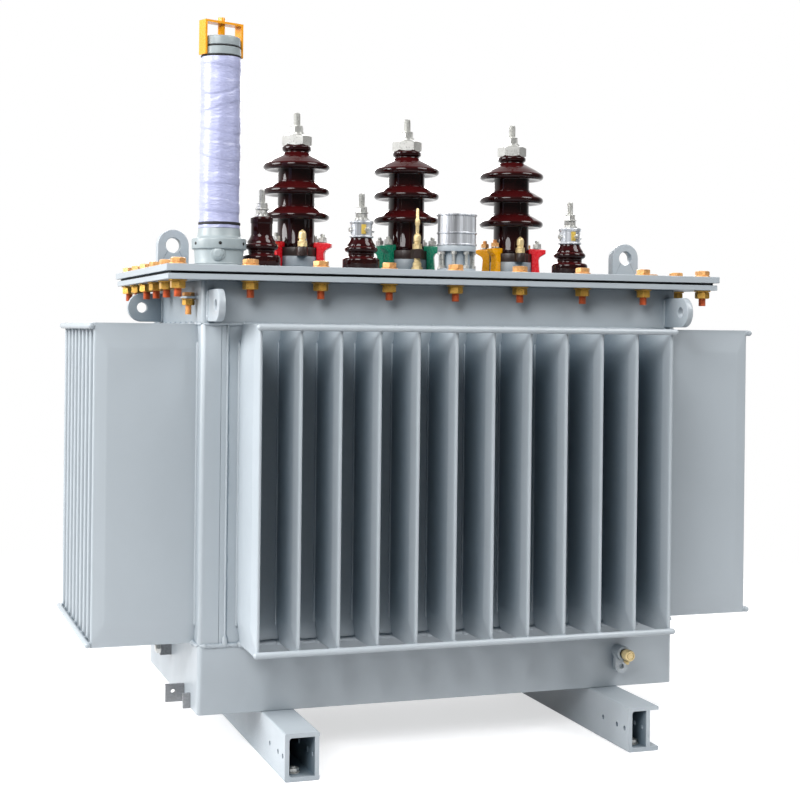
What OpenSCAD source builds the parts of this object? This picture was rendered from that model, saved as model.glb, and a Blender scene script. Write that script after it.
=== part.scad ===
// Oil-immersed distribution transformer with a corrugated-fin tank on two channel rails.
// Millimetres, +Z up, origin on the ground at the centre of the base.

/* [Rails] */
// Length of each base rail, front to back
rail_length = 786; // [760:2:900]
// Height of the rail channel
rail_height = 80; // [60:1:120]
// Width of the rail flanges
rail_width = 60; // [45:1:80]
// Distance between the rail centre lines
rail_spacing = 632; // [480:2:700]
// Thickness of the rail channel
rail_thickness = 7.5; // [4:0.5:9]
// Distance of the left rail's closing plate from the flange edge
left_plate_inset = 1; // [0:0.5:20]
// Distance of the right rail's closing plate from the flange edge
right_plate_inset = 17; // [0:0.5:20]
// Diameter of the foundation bolt hole in each rail end
rail_hole_d = 18; // [10:1:24]
// Distance of the foundation bolt hole from the rail end
rail_hole_end = 30; // [20:1:60]
// Distance of the foundation bolt hole from the outer face of the rail's web
rail_hole_web = 22; // [18:1:24]
// Diameter of the small holes through the side of each rail end
rail_side_hole_d = 9; // [6:0.5:12]

/* [Tank] */
// Length of the tank outside its walls
tank_length = 920; // [860:2:1000]
// Depth of the tank outside its walls
tank_depth = 466; // [430:2:500]
// Thickness of the tank plate
tank_plate = 6; // [3:0.5:10]
// Radius of the upright tank corners
tank_corner_r = 8; // [6:1:20]
// Width of each leg of the corner posts
corner_leg = 36; // [24:1:50]
// Height of the plain band below the fins
lower_band_height = 120; // [90:1:160]
// Height of the plain band above the fins
upper_band_height = 75; // [60:1:110]

/* [Cooling fins] */
// Height of the fins and of the fin walls
fin_height = 556; // [400:2:700]
// Number of fins on the front wall and on the rear wall
long_fin_count = 12; // [4:1:12]
// Distance of the outer fins from the tank's ends on the front wall and on the rear wall
long_fin_margin = 75; // [60:1:120]
// Depth of the fins on the front wall and on the rear wall
long_fin_depth = 125; // [80:1:140]
// Number of fins on each end wall
end_fin_count = 9; // [3:1:9]
// Distance of the outer fins from the tank's front and rear on the end walls
end_fin_margin = 37; // [36:1:80]
// Depth of the fins on the end walls
end_fin_depth = 179; // [100:1:220]
// Thickness of a fin across its pressed pocket
fin_thickness = 15; // [9:0.5:20]
// Thickness of a fin at its pressed edges
fin_edge = 5; // [3:0.5:8]
// Length over which a fin is pinched at its top and at its bottom
fin_pinch = 42; // [20:1:70]
// Length over which a fin narrows towards its outer edge
fin_nose = 19; // [10:1:30]
// Diameter of the tie rods along the fin edges
fin_rod_d = 10; // [6:0.5:14]
// Length of the tie rods past the outer fins
fin_rod_overhang = 9; // [6:1:20]

/* [Cover] */
// Overhang of the cover at each end of the tank
cover_end_overhang = 70; // [55:1:100]
// Overhang of the cover at the front and at the rear of the tank
cover_side_overhang = 45; // [38:1:80]
// Thickness of the cover plate
cover_thickness = 12; // [8:0.5:16]
// Thickness of the cover gasket
gasket_thickness = 4; // [2:0.5:8]
// Distance of the gasket from the flange edge
gasket_inset = 6; // [3:1:12]
// Thickness of the tank flange
flange_thickness = 10; // [6:0.5:14]
// Distance of the flange edge from the cover edge
flange_inset = 3; // [0:0.5:8]

/* [Lifting lugs] */
// Width of a cover lug
cover_lug_width = 58; // [44:1:70]
// Height of a cover lug's hole above the cover
cover_lug_hole_height = 45; // [36:1:60]
// Thickness of a cover lug
cover_lug_thickness = 20; // [12:1:24]
// Diameter of a cover lug's hole
cover_lug_hole_d = 28; // [18:1:32]
// Distance of the cover lugs from the ends of the cover
cover_lug_inset = 62; // [50:1:80]
// Height of the tank lugs and of the side lugs
tank_lug_height = 55; // [40:1:58]
// Length of the tank lugs from the tank wall
tank_lug_length = 88; // [60:1:100]
// Length of the side lugs from the tank wall
side_lug_length = 68; // [45:1:80]
// Thickness of the tank lugs and of the side lugs
tank_lug_thickness = 12; // [8:1:16]
// Diameter of the holes in the tank lugs and in the side lugs
tank_lug_hole_d = 20; // [12:1:24]
// Distance of a tank lug's middle from the end wall of the tank
tank_lug_inset = 17; // [16:1:40]
// Place of the side lugs along the depth of the tank
side_lug_y = 140; // [60:1:170]

/* [High voltage bushings] */
// Distance between the high voltage bushings
hv_pitch = 225; // [190:1:235]
// Place of the high voltage row along the depth of the cover
hv_y = 20; // [0:1:60]
// Height of the steel boss under a bushing
hv_boss_height = 31; // [20:1:36]
// Height of the holding ring round a bushing's foot
hv_ring_height = 17; // [10:1:24]
// Radius of the holding ring and of the boss
hv_ring_r = 42; // [40:0.5:48]
// Radius of the porcelain body
hv_body_r = 36; // [30:0.5:37]
// Radius of the porcelain sheds
hv_shed_r = 62; // [50:1:68]
// Distance between sheds
hv_shed_pitch = 48; // [42:1:56]
// Height of the lowest shed's rim above the holding ring
hv_first_shed = 62; // [50:1:80]
// Number of sheds
hv_shed_count = 3; // [2:1:4]
// Thickness of a shed's rounded rim
hv_rim = 9; // [6:0.5:12]
// Diameter of the high voltage terminal stud
hv_stud_d = 12; // [8:1:16]
// Free length of the high voltage terminal stud
hv_stud_free = 22; // [15:1:40]

/* [Bushing clamps] */
// Length of a clamp's bar
clamp_length = 34; // [28:1:40]
// Width of a clamp
clamp_width = 15; // [10:1:20]
// Thickness of a clamp's bar
clamp_bar = 11; // [6:1:14]
// Length of a clamp's leg along the bar
clamp_leg = 16; // [10:1:20]
// Angle of the clamps from the row of bushings
clamp_angle = 30; // [20:1:40]
// Gap between a clamp's bar and the porcelain
clamp_gap = 0.5; // [0.3:0.1:1.5]

/* [Low voltage bushings] */
// Place of the left low voltage bushing along the cover, measured from the oil gauge
lv_left_x = 84; // [80:1:101]
// Place of the middle low voltage bushing along the cover
lv_middle_x = -130; // [-140:1:-105]
// Place of the right low voltage bushing along the cover
lv_right_x = 300; // [285:1:325]
// Place of the low voltage row along the depth of the cover
lv_y = -98; // [-130:1:-95]
// Radius of the low voltage bushing's foot
lv_foot_r = 35; // [30:0.5:38]
// Radius of the low voltage bushing's shed
lv_shed_r = 31; // [28:0.5:34]
// Radius of the low voltage bushing's neck
lv_neck_r = 19.5; // [15:0.5:22]
// Diameter of the low voltage terminal stud
lv_stud_d = 12; // [8:1:16]
// Free length of the low voltage terminal stud
lv_stud_free = 25; // [15:1:40]

/* [Oil gauge] */
// Distance of the oil gauge from the left end of the cover
gauge_inset = 124; // [112:1:128]
// Place of the oil gauge along the depth of the cover
gauge_y = -120; // [-135:1:-112]
// Diameter of the gauge tube
gauge_tube_d = 73; // [50:1:80]
// Wall of the gauge tube
gauge_tube_wall = 5; // [3:0.5:8]
// Length of the gauge tube that shows
gauge_tube_length = 308; // [250:2:400]
// Diameter of the gauge base's collar
gauge_collar_d = 98; // [90:1:104]
// Height of the gauge base
gauge_base_height = 53; // [45:1:70]
// Height of the gauge cap
gauge_cap_height = 36; // [30:1:50]
// Gap between the gauge cap and each leg of the lifting bracket
bracket_gap = 0.5; // [0.5:0.5:20]
// Width of the lifting bracket
bracket_width = 22; // [10:1:32]
// Thickness of the lifting bracket
bracket_thickness = 4; // [3:0.5:8]
// Length of the lifting bracket's legs
bracket_leg = 62; // [40:1:64]
// Height of the lifting bracket above the gauge cap
bracket_rise = 28; // [20:1:40]
// Turn of the lifting bracket about the gauge
bracket_turn = 20; // [0:1:90]

/* [Relief valve] */
// Place of the relief valve along the cover
relief_x = 68; // [60:1:90]
// Place of the relief valve along the depth of the cover
relief_y = -82; // [-95:1:-76]
// Diameter of the relief valve's can
relief_d = 78; // [60:1:80]
// Height of the relief valve's can
relief_height = 61; // [45:1:80]
// Height of the relief valve's pedestal
relief_pedestal_height = 55; // [35:1:70]

/* [Lower fittings] */
// Distance of the drain valve from the right end of the tank
drain_inset = 116; // [60:1:180]
// Height of the drain valve above the ground
drain_height = 147; // [140:1:160]
// Diameter of the drain socket
drain_socket_d = 25; // [18:1:32]
// Length of the drain socket
drain_socket_length = 30; // [20:1:40]
// Diameter of the drain knob
drain_knob_d = 21; // [16:1:30]
// Length of the drain knob
drain_knob_length = 24; // [15:1:40]
// Diameter of the earthing hole in the end bracket
earth_hole_d = 8; // [6:1:14]
// Thickness of the hasp plate and of the end brackets
small_plate = 9; // [3:0.5:12]

/* [Hidden] */
$fn = 48;
eps = 0.01;
seat_gap = 0.3;
tank_z = rail_height;
fin_z = tank_z + lower_band_height;
upper_z = fin_z + fin_height;
flange_z = upper_z + upper_band_height;
gasket_z = flange_z + flange_thickness;
cover_z = gasket_z + gasket_thickness;
deck_z = cover_z + cover_thickness;
long_fin_pitch = (tank_length - 2 * long_fin_margin) / (long_fin_count - 1);
end_fin_pitch = (tank_depth - 2 * end_fin_margin) / (end_fin_count - 1);
cover_length = tank_length + 2 * cover_end_overhang;
cover_depth = tank_depth + 2 * cover_side_overhang;
cover_lug_offset = cover_length / 2 - cover_lug_inset;
gauge_x = gauge_inset - cover_length / 2;
lv_left_place = gauge_x + lv_left_x;
drain_x = tank_length / 2 - drain_inset;
rail_side_hole_step = 15;
rail_side_hole_far = 70;
rail_side_hole_ends = [rail_hole_end - rail_side_hole_step, rail_hole_end + rail_side_hole_step,
    rail_hole_end + rail_side_hole_far];
flange_length = cover_length - 2 * flange_inset;
flange_depth = cover_depth - 2 * flange_inset;
inner_length = tank_length - 2 * tank_plate;
inner_depth = tank_depth - 2 * tank_plate;
inner_corner_r = tank_corner_r - min(tank_plate, tank_corner_r / 2);
hv_foot_z = deck_z + hv_boss_height + hv_ring_height;
hv_places = [-hv_pitch, 0, hv_pitch];
hv_shed_slope = 18;
hv_shed_under = 4;
hv_neck_r = hv_body_r - 13;
hv_head_r = hv_body_r - 8;
hv_neck_height = 10;
hv_head_height = 12;
hv_bell_height = 22;
hv_bell_shoulder = 14;
hv_bell_share = 0.25;
hv_bell_step = 2;
hv_bell_z = hv_first_shed + (hv_shed_count - 1) * hv_shed_pitch;
hv_neck_z = hv_bell_z + hv_bell_height;
hv_slope_points = [[hv_body_r + hv_rim / 2, hv_shed_slope - hv_rim / 2],
    [hv_body_r + hv_rim / 2, hv_shed_slope], [0, hv_shed_slope]];
hv_bell_points = [[hv_body_r + hv_bell_share * (hv_shed_r - hv_body_r), hv_bell_shoulder],
    [hv_neck_r + hv_bell_step, hv_bell_height], [0, hv_bell_height]];
hv_top = hv_neck_z + hv_neck_height + hv_head_height;
hv_cap_height = 17;
hv_washer_height = 7;
hv_nut_height = 12;
hv_cap_step = 0.5;
hv_cap_r = hv_head_r - hv_cap_step;
hv_washer_d = 2.4 * hv_stud_d;
hv_nut_d = 2 * hv_stud_d;
vent_places = [-hv_pitch, hv_pitch];
vent_r = 7;
vent_step = 2;
vent_height = 33;
vent_ear_r = 11;
bleeder_stem_r = 3.5;
bleeder_height = 128;
clamp_foot = 6;
bleeder_gap = 1;
bleeder_offset = hv_shed_r + bleeder_stem_r + bleeder_gap;
bleeder_foot_height = 0.6 * hv_boss_height;
vent_offset = hv_body_r + clamp_gap + vent_ear_r;
lv_foot_height = 27;
lv_foot_round = 5;
lv_groove_height = 9;
lv_groove_r = lv_shed_r - 7;
lv_shed_height = 12;
lv_shed_round = lv_shed_height / 2;
lv_head_step = 0.7;
lv_flare_height = 16;
lv_neck_height = 20;
lv_head_height = 12;
lv_flare_z = lv_foot_height + lv_groove_height + lv_shed_height;
lv_neck_z = lv_flare_z + lv_flare_height;
lv_top = lv_neck_z + lv_neck_height + lv_head_height;
lv_cap_r = lv_neck_r + 3;
lv_nut_height = 26;
lv_nut_r = 11;
lv_washer_r = lv_nut_r + 2;
lv_washer_height = lv_nut_height / 4;
relief_rim = 4;
relief_rim_share = 0.4;
relief_flange_d = relief_d - relief_rim;
relief_neck_step = 12;
relief_neck_d = relief_d - 2 * relief_neck_step;
relief_flange_height = relief_pedestal_height / 5;
gauge_foot_d = gauge_collar_d - 10;
gauge_foot_height = 14;
gauge_neck_d = gauge_foot_d - 8;
gauge_collar_height = 20;
gauge_seal_height = 3;
gauge_seal_d = gauge_tube_d - 10;
gauge_lower_ring_d = gauge_tube_d - 2;
gauge_upper_ring_d = gauge_tube_d - 4;
gauge_cone_height = 18;
gauge_cone_d = gauge_collar_d - 8;
gauge_tube_z = deck_z + gauge_base_height + gauge_cone_height;
gauge_cap_z = gauge_tube_z + gauge_tube_length;
bracket_z = gauge_cap_z + gauge_cap_height + bracket_rise;
bracket_span = gauge_lower_ring_d + 2 * (bracket_gap + bracket_thickness);
bracket_stem_d = 13;
bracket_stub = 8;
lug_drop = 6;
lug_hole_z = flange_z - upper_band_height / 2 - lug_drop;
drain_neck_d = 0.6 * drain_knob_d;
drain_neck_length = 8;
hasp_size = 26;
hasp_hole_d = 10;
rear_bracket = [21, 26];
rear_bracket_y = 11;
rear_bracket_rise = 58;
middle_bracket = [34, 31];
middle_bracket_y = -115;
front_bracket = [13, 26];
front_bracket_y = -170;
earth_hole_share = 0.6;
rail_edge_r = 3;
rail_root_r = 5;
front_right = -clamp_angle;
rear_right = clamp_angle;
rear_left = 180 - clamp_angle;
front_left = 180 + clamp_angle;
paint = [0.68, 0.71, 0.74];
porcelain = [0.27, 0.09, 0.09];
zinc = [0.75, 0.75, 0.72];
brass = [0.72, 0.58, 0.25];

// Shared outlines and shapes

module round_rect(length, depth, r) {
    square([length - 2 * r, depth], center = true);
    square([length, depth - 2 * r], center = true);
    for (sx = [-1, 1], sy = [-1, 1]) {
        translate([sx * (length / 2 - r), sy * (depth / 2 - r)]) circle(r = r);
    }
}

module tank_ring() {
    difference() {
        round_rect(tank_length, tank_depth, tank_corner_r);
        round_rect(inner_length, inner_depth, inner_corner_r);
    }
}

// A plate with a round outer end and a hole, lying in XZ and reaching out along +X from X = 0
module eye_plate(length, height, hole_d, thickness) {
    rotate([90, 0, 0]) linear_extrude(thickness, center = true) difference() {
        union() {
            translate([0, -height / 2]) square([length - height / 2, height]);
            translate([length - height / 2, 0]) circle(d = height);
        }
        translate([length - height / 2, 0]) circle(d = hole_d);
    }
}

// Base rails

// A channel with rounded outer edges and rounded roots, open on its right side
module rail_section() {
    inside = rail_width - rail_thickness + 2 * rail_root_r;
    translate([0, rail_height / 2]) difference() {
        round_rect(rail_width, rail_height, rail_edge_r);
        translate([rail_thickness + (inside - rail_width) / 2, 0])
            round_rect(inside, rail_height - 2 * rail_thickness, rail_root_r);
    }
}

module rail() {
    difference() {
        rotate([90, 0, 0]) linear_extrude(rail_length, center = true) rail_section();
        for (side = [-1, 1]) {
            translate([rail_hole_web - rail_width / 2, side * (rail_length / 2 - rail_hole_end), -eps])
                cylinder(d = rail_hole_d, h = rail_thickness + 2 * eps);
        }
        rail_side_holes();
    }
}

module rail_side_holes() {
    for (side = [-1, 1], from_end = rail_side_hole_ends) {
        translate([0, side * (rail_length / 2 - from_end), rail_height / 2]) rotate([0, 90, 0])
            cylinder(d = rail_side_hole_d, h = rail_width + 2 * eps, center = true);
    }
}

module left_rail() {
    color(paint) translate([-rail_spacing / 2, 0, 0]) rail();
}

module right_rail() {
    color(paint) translate([rail_spacing / 2, 0, 0]) rail();
}

module rail_plate(inset) {
    difference() {
        translate([(rail_width - rail_thickness) / 2 - inset, 0, rail_height / 2])
            cube([rail_thickness, rail_length, rail_height - 2 * rail_thickness], center = true);
        rail_side_holes();
    }
}

module rail_plates() {
    color(paint) {
        translate([-rail_spacing / 2, 0, 0]) rail_plate(left_plate_inset);
        translate([rail_spacing / 2, 0, 0]) rail_plate(right_plate_inset);
    }
}

// Tank

module tank_floor() {
    color(paint) translate([0, 0, tank_z]) linear_extrude(tank_plate)
        round_rect(inner_length, inner_depth, inner_corner_r);
}

module lower_band() {
    color(paint) translate([0, 0, tank_z]) linear_extrude(lower_band_height) tank_ring();
}

module upper_band() {
    color(paint) translate([0, 0, upper_z]) linear_extrude(upper_band_height) tank_ring();
}

module corner_posts() {
    color(paint) translate([0, 0, fin_z]) linear_extrude(fin_height) intersection() {
        tank_ring();
        for (sx = [-1, 1], sy = [-1, 1]) {
            translate([sx * (tank_length - corner_leg) / 2, sy * (tank_depth - corner_leg) / 2])
                square(corner_leg, center = true);
        }
    }
}

module long_wall() {
    translate([0, -(tank_depth - tank_plate) / 2, fin_z + fin_height / 2])
        cube([tank_length - 2 * corner_leg, tank_plate, fin_height], center = true);
}

module end_wall() {
    translate([-(tank_length - tank_plate) / 2, 0, fin_z + fin_height / 2])
        cube([tank_plate, tank_depth - 2 * corner_leg, fin_height], center = true);
}

module front_wall() {
    color(paint) long_wall();
}

module rear_wall() {
    color(paint) rotate(180) long_wall();
}

module left_wall() {
    color(paint) end_wall();
}

module right_wall() {
    color(paint) rotate(180) end_wall();
}

// Pressed cooling fins

module fin_plan(depth) {
    half = fin_thickness / 2;
    tip_y = fin_edge / 2 - depth;
    polygon([[-half, 0], [-half, fin_nose - depth], [-fin_edge / 2, tip_y], [fin_edge / 2, tip_y],
        [half, fin_nose - depth], [half, 0]]);
    translate([0, tip_y]) circle(d = fin_edge);
}

module fin_side() {
    polygon([[-fin_edge / 2, 0], [fin_edge / 2, 0], [fin_thickness / 2, fin_pinch],
        [fin_thickness / 2, fin_height - fin_pinch], [fin_edge / 2, fin_height], [-fin_edge / 2, fin_height],
        [-fin_thickness / 2, fin_height - fin_pinch], [-fin_thickness / 2, fin_pinch]]);
}

module fin(depth) {
    intersection() {
        linear_extrude(fin_height) fin_plan(depth);
        rotate([90, 0, 0]) linear_extrude(depth) fin_side();
    }
}

module fin_bank(count, pitch, depth) {
    for (i = [0 : count - 1]) {
        translate([(i - (count - 1) / 2) * pitch, 0, 0]) fin(depth);
    }
}

module front_fins() {
    color(paint) translate([0, -tank_depth / 2, fin_z])
        fin_bank(long_fin_count, long_fin_pitch, long_fin_depth);
}

module rear_fins() {
    color(paint) rotate(180) translate([0, -tank_depth / 2, fin_z])
        fin_bank(long_fin_count, long_fin_pitch, long_fin_depth);
}

module left_fins() {
    color(paint) translate([-tank_length / 2, 0, fin_z]) rotate(-90)
        fin_bank(end_fin_count, end_fin_pitch, end_fin_depth);
}

module right_fins() {
    color(paint) translate([tank_length / 2, 0, fin_z]) rotate(90)
        fin_bank(end_fin_count, end_fin_pitch, end_fin_depth);
}

module rod_pair(count, pitch, reach) {
    length = (count - 1) * pitch + 2 * fin_rod_overhang;
    for (z = [fin_rod_d / 2, fin_height - fin_rod_d / 2]) {
        translate([0, -reach - fin_rod_d / 2, fin_z + z]) rotate([0, 90, 0])
            cylinder(d = fin_rod_d, h = length, center = true);
    }
}

module fin_rods() {
    color(paint) {
        for (turn = [0, 180]) {
            rotate(turn) rod_pair(long_fin_count, long_fin_pitch, tank_depth / 2 + long_fin_depth);
        }
        for (turn = [-90, 90]) {
            rotate(turn) rod_pair(end_fin_count, end_fin_pitch, tank_length / 2 + end_fin_depth);
        }
    }
}

// Flange, gasket and cover

module tank_flange() {
    color(paint) translate([0, 0, flange_z]) linear_extrude(flange_thickness) difference() {
        square([flange_length, flange_depth], center = true);
        round_rect(inner_length, inner_depth, inner_corner_r);
    }
}

module cover_gasket() {
    color([0.08, 0.08, 0.09]) translate([0, 0, gasket_z]) linear_extrude(gasket_thickness) difference() {
        square([flange_length - 2 * gasket_inset, flange_depth - 2 * gasket_inset], center = true);
        round_rect(inner_length, inner_depth, inner_corner_r);
    }
}

module cover_plate() {
    color(paint) translate([0, 0, cover_z + cover_thickness / 2])
        cube([cover_length, cover_depth, cover_thickness], center = true);
}

// Lifting lugs

module cover_lug() {
    reach = cover_lug_hole_height + cover_lug_width / 2;
    translate([0, 0, deck_z]) rotate([0, -90, 0])
        eye_plate(reach, cover_lug_width, cover_lug_hole_d, cover_lug_thickness);
}

module left_cover_lug() {
    color(paint) translate([-cover_lug_offset, 0, 0]) cover_lug();
}

module right_cover_lug() {
    color(paint) translate([cover_lug_offset, 0, 0]) cover_lug();
}

module tank_lugs() {
    color(paint) for (side = [-1, 1], face = [-1, 1]) {
        translate([side * (tank_length / 2 - tank_lug_inset), face * tank_depth / 2, lug_hole_z])
            rotate(face * 90)
                eye_plate(tank_lug_length, tank_lug_height, tank_lug_hole_d, tank_lug_thickness);
    }
}

module side_lugs() {
    color(paint) for (turn = [0, 1]) {
        mirror([turn, 0, 0]) translate([tank_length / 2, side_lug_y, lug_hole_z])
            eye_plate(side_lug_length, tank_lug_height, tank_lug_hole_d, tank_lug_thickness);
    }
}

// High voltage bushings

module at_hv_places() {
    for (x = hv_places) {
        translate([x, hv_y, 0]) children();
    }
}

module hv_bosses() {
    color(paint) at_hv_places() translate([0, 0, deck_z]) cylinder(r = hv_ring_r, h = hv_boss_height);
}

module hv_rings() {
    color([0.2, 0.12, 0.1]) translate([0, 0, deck_z + hv_boss_height]) linear_extrude(hv_ring_height) {
        at_hv_places() circle(r = hv_ring_r);
        for (x = vent_places) {
            translate([x, hv_y - vent_offset]) circle(r = vent_ear_r);
        }
    }
}

module hv_shed_profile(upper) {
    polygon(concat([[0, -hv_shed_under], [hv_body_r, -hv_shed_under], [hv_shed_r - hv_rim / 2, -hv_rim / 2],
        [hv_shed_r - hv_rim / 2, hv_rim / 2]], upper));
    translate([hv_shed_r - hv_rim / 2, 0]) circle(d = hv_rim);
}

module hv_bushing(place) {
    color(porcelain) translate([hv_places[place], hv_y, hv_foot_z]) rotate_extrude() {
        square([hv_body_r, hv_bell_z]);
        for (i = [0 : hv_shed_count - 2]) {
            translate([0, hv_first_shed + i * hv_shed_pitch]) hv_shed_profile(hv_slope_points);
        }
        translate([0, hv_bell_z]) hv_shed_profile(hv_bell_points);
        square([hv_neck_r, hv_top]);
        translate([0, hv_top - hv_head_height]) square([hv_head_r, hv_head_height]);
    }
}

module hv_bushing_left() {
    hv_bushing(0);
}

module hv_bushing_middle() {
    hv_bushing(1);
}

module hv_bushing_right() {
    hv_bushing(2);
}

module hv_terminals() {
    stud_height = hv_cap_height + hv_washer_height + hv_nut_height + hv_stud_free;
    color(zinc) at_hv_places() translate([0, 0, hv_foot_z + hv_top]) {
        cylinder(r = hv_cap_r, h = hv_cap_height, $fn = 6);
        cylinder(d = hv_washer_d, h = hv_cap_height + hv_washer_height);
        translate([0, 0, hv_cap_height + hv_washer_height])
            cylinder(d = hv_nut_d, h = hv_nut_height, $fn = 6);
        cylinder(d = hv_stud_d, h = stud_height);
    }
}

// Clamps that hold the bushings down

module clamp() {
    bar_x = hv_body_r + clamp_gap;
    leg_x = hv_ring_r + clamp_gap;
    bar_z = hv_boss_height + hv_ring_height;
    outer_x = leg_x + clamp_leg;
    rotate([90, 0, 0]) linear_extrude(clamp_width, center = true)
        polygon([[leg_x, 0], [outer_x + clamp_foot, 0], [outer_x + clamp_foot, clamp_foot],
            [outer_x, 2 * clamp_foot], [outer_x, bar_z - clamp_foot], [bar_x + clamp_length, bar_z],
            [bar_x + clamp_length, bar_z + clamp_bar], [bar_x, bar_z + clamp_bar], [bar_x, bar_z],
            [leg_x, bar_z]]);
}

module clamp_set(place, angles) {
    translate([hv_places[place], hv_y, deck_z]) for (angle = angles) {
        rotate(angle) clamp();
    }
}

module red_clamps() {
    color([0.8, 0.04, 0.08]) {
        clamp_set(0, [front_right, rear_right, rear_left, front_left]);
        clamp_set(2, [front_right]);
    }
}

module green_clamps() {
    color([0.0, 0.42, 0.3]) clamp_set(1, [front_right, rear_right, rear_left, front_left]);
}

module yellow_clamps() {
    color([0.95, 0.65, 0.05]) clamp_set(2, [rear_right, rear_left, front_left]);
}

module vent_plug() {
    hex_height = vent_height / 3;
    cylinder(r = vent_r + vent_step, h = hex_height, $fn = 6);
    cylinder(r = vent_r, h = vent_height - vent_r);
    translate([0, 0, vent_height - vent_r]) sphere(r = vent_r);
}

// Oil bleeder: hex foot on the cover, turned body, domed nut and a slim stem past the lowest shed
module bleeder() {
    cylinder(r = vent_r + 2 * vent_step, h = bleeder_foot_height, $fn = 6);
    cylinder(r = vent_r + vent_step, h = hv_boss_height + hv_ring_height);
    translate([0, 0, hv_boss_height + hv_ring_height]) vent_plug();
    cylinder(r = bleeder_stem_r, h = bleeder_height);
}

module vent_plugs() {
    color(brass) {
        for (x = vent_places) {
            translate([x, hv_y - vent_offset, hv_foot_z]) vent_plug();
        }
        translate([0, hv_y - bleeder_offset, deck_z]) bleeder();
    }
}

// Low voltage bushings

module lv_profile(top) {
    shoulder = lv_shed_round / 3;
    square([lv_foot_r - lv_foot_round, lv_foot_height]);
    square([lv_foot_r, lv_foot_height - lv_foot_round]);
    translate([lv_foot_r - lv_foot_round, lv_foot_height - lv_foot_round]) circle(r = lv_foot_round);
    square([lv_groove_r, lv_flare_z]);
    translate([0, lv_foot_height + lv_groove_height]) square([lv_shed_r - lv_shed_round, lv_shed_height]);
    translate([lv_shed_r - lv_shed_round, lv_flare_z - lv_shed_round]) circle(r = lv_shed_round);
    polygon([[0, lv_flare_z - lv_shed_round], [lv_shed_r - shoulder, lv_flare_z - shoulder],
        [lv_neck_r, lv_neck_z], [0, lv_neck_z]]);
    square([lv_neck_r - lv_head_step, top]);
}

module lv_bushing_left() {
    color(porcelain) translate([lv_left_place, lv_y, deck_z]) rotate_extrude() {
        lv_profile(lv_top);
        translate([0, lv_top - lv_head_height]) square([lv_neck_r + lv_head_step, lv_head_height]);
    }
}

module lv_bushing_middle() {
    color(porcelain) translate([lv_middle_x, lv_y, deck_z]) rotate_extrude() lv_profile(lv_neck_z);
}

module lv_bushing_right() {
    color(porcelain) translate([lv_right_x, lv_y, deck_z]) rotate_extrude() lv_profile(lv_neck_z);
}

module lv_caps() {
    color(zinc) for (x = [lv_middle_x, lv_right_x]) {
        translate([x, lv_y, deck_z + lv_neck_z]) cylinder(r = lv_cap_r, h = lv_top - lv_neck_z);
    }
}

module lv_terminals() {
    color(zinc) for (x = [lv_left_place, lv_middle_x, lv_right_x]) {
        translate([x, lv_y, deck_z + lv_top]) {
            cylinder(r = lv_washer_r, h = lv_washer_height);
            cylinder(r = lv_nut_r, h = lv_nut_height, $fn = 6);
            cylinder(d = lv_stud_d, h = lv_nut_height + lv_stud_free);
        }
    }
}

// Relief valve

module relief_pedestal() {
    color(paint) translate([relief_x, relief_y, deck_z]) {
        cylinder(d = relief_flange_d, h = relief_flange_height);
        cylinder(d = relief_neck_d, h = relief_pedestal_height);
        translate([0, 0, relief_pedestal_height - relief_flange_height])
            cylinder(d = relief_flange_d, h = relief_flange_height);
    }
}

module relief_valve() {
    can_r = relief_flange_d / 2;
    rim_r = relief_rim / 2;
    color([0.8, 0.8, 0.82]) translate([relief_x, relief_y, deck_z + relief_pedestal_height])
        rotate_extrude() {
            square([can_r, relief_height]);
            for (z = [rim_r, relief_height * relief_rim_share, relief_height - rim_r]) {
                translate([can_r, z]) circle(r = rim_r);
            }
        }
}

// Oil gauge

module at_gauge() {
    translate([gauge_x, gauge_y, 0]) children();
}

module gauge_base() {
    color([0.74, 0.78, 0.77]) at_gauge() translate([0, 0, deck_z]) {
        cylinder(d = gauge_foot_d, h = gauge_foot_height);
        cylinder(d = gauge_neck_d, h = gauge_base_height);
        translate([0, 0, gauge_base_height - gauge_collar_height])
            cylinder(d = gauge_collar_d, h = gauge_collar_height);
        translate([0, 0, gauge_base_height])
            cylinder(d1 = gauge_cone_d, d2 = gauge_tube_d, h = gauge_cone_height);
    }
}

module gauge_tube() {
    color([0.88, 0.88, 0.94]) at_gauge() translate([0, 0, gauge_tube_z]) linear_extrude(gauge_tube_length)
        difference() {
            circle(d = gauge_tube_d);
            circle(d = gauge_tube_d - 2 * gauge_tube_wall);
        }
}

module gauge_cap() {
    ring = (gauge_cap_height - gauge_seal_height) / 2;
    color([0.6, 0.62, 0.64]) at_gauge() translate([0, 0, gauge_cap_z]) {
        cylinder(d = gauge_lower_ring_d, h = ring);
        cylinder(d = gauge_seal_d, h = gauge_cap_height);
        translate([0, 0, ring + gauge_seal_height]) cylinder(d = gauge_upper_ring_d, h = ring);
    }
}

module gauge_bracket() {
    color([1.0, 0.65, 0.05]) at_gauge() translate([0, 0, bracket_z]) rotate(bracket_turn) {
        translate([-bracket_span / 2, -bracket_width / 2, -bracket_thickness])
            cube([bracket_span, bracket_width, bracket_thickness]);
        for (x = [-bracket_span / 2, bracket_span / 2 - bracket_thickness]) {
            translate([x, -bracket_width / 2, -bracket_leg])
                cube([bracket_thickness, bracket_width, bracket_leg]);
        }
        translate([0, 0, -bracket_rise]) cylinder(d = bracket_stem_d, h = bracket_rise + bracket_stub);
    }
}

// Lower fittings

module drain_socket() {
    color(paint) translate([drain_x, -tank_depth / 2, drain_height]) rotate([90, 0, 0])
        cylinder(d = drain_socket_d, h = drain_socket_length);
}

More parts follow.
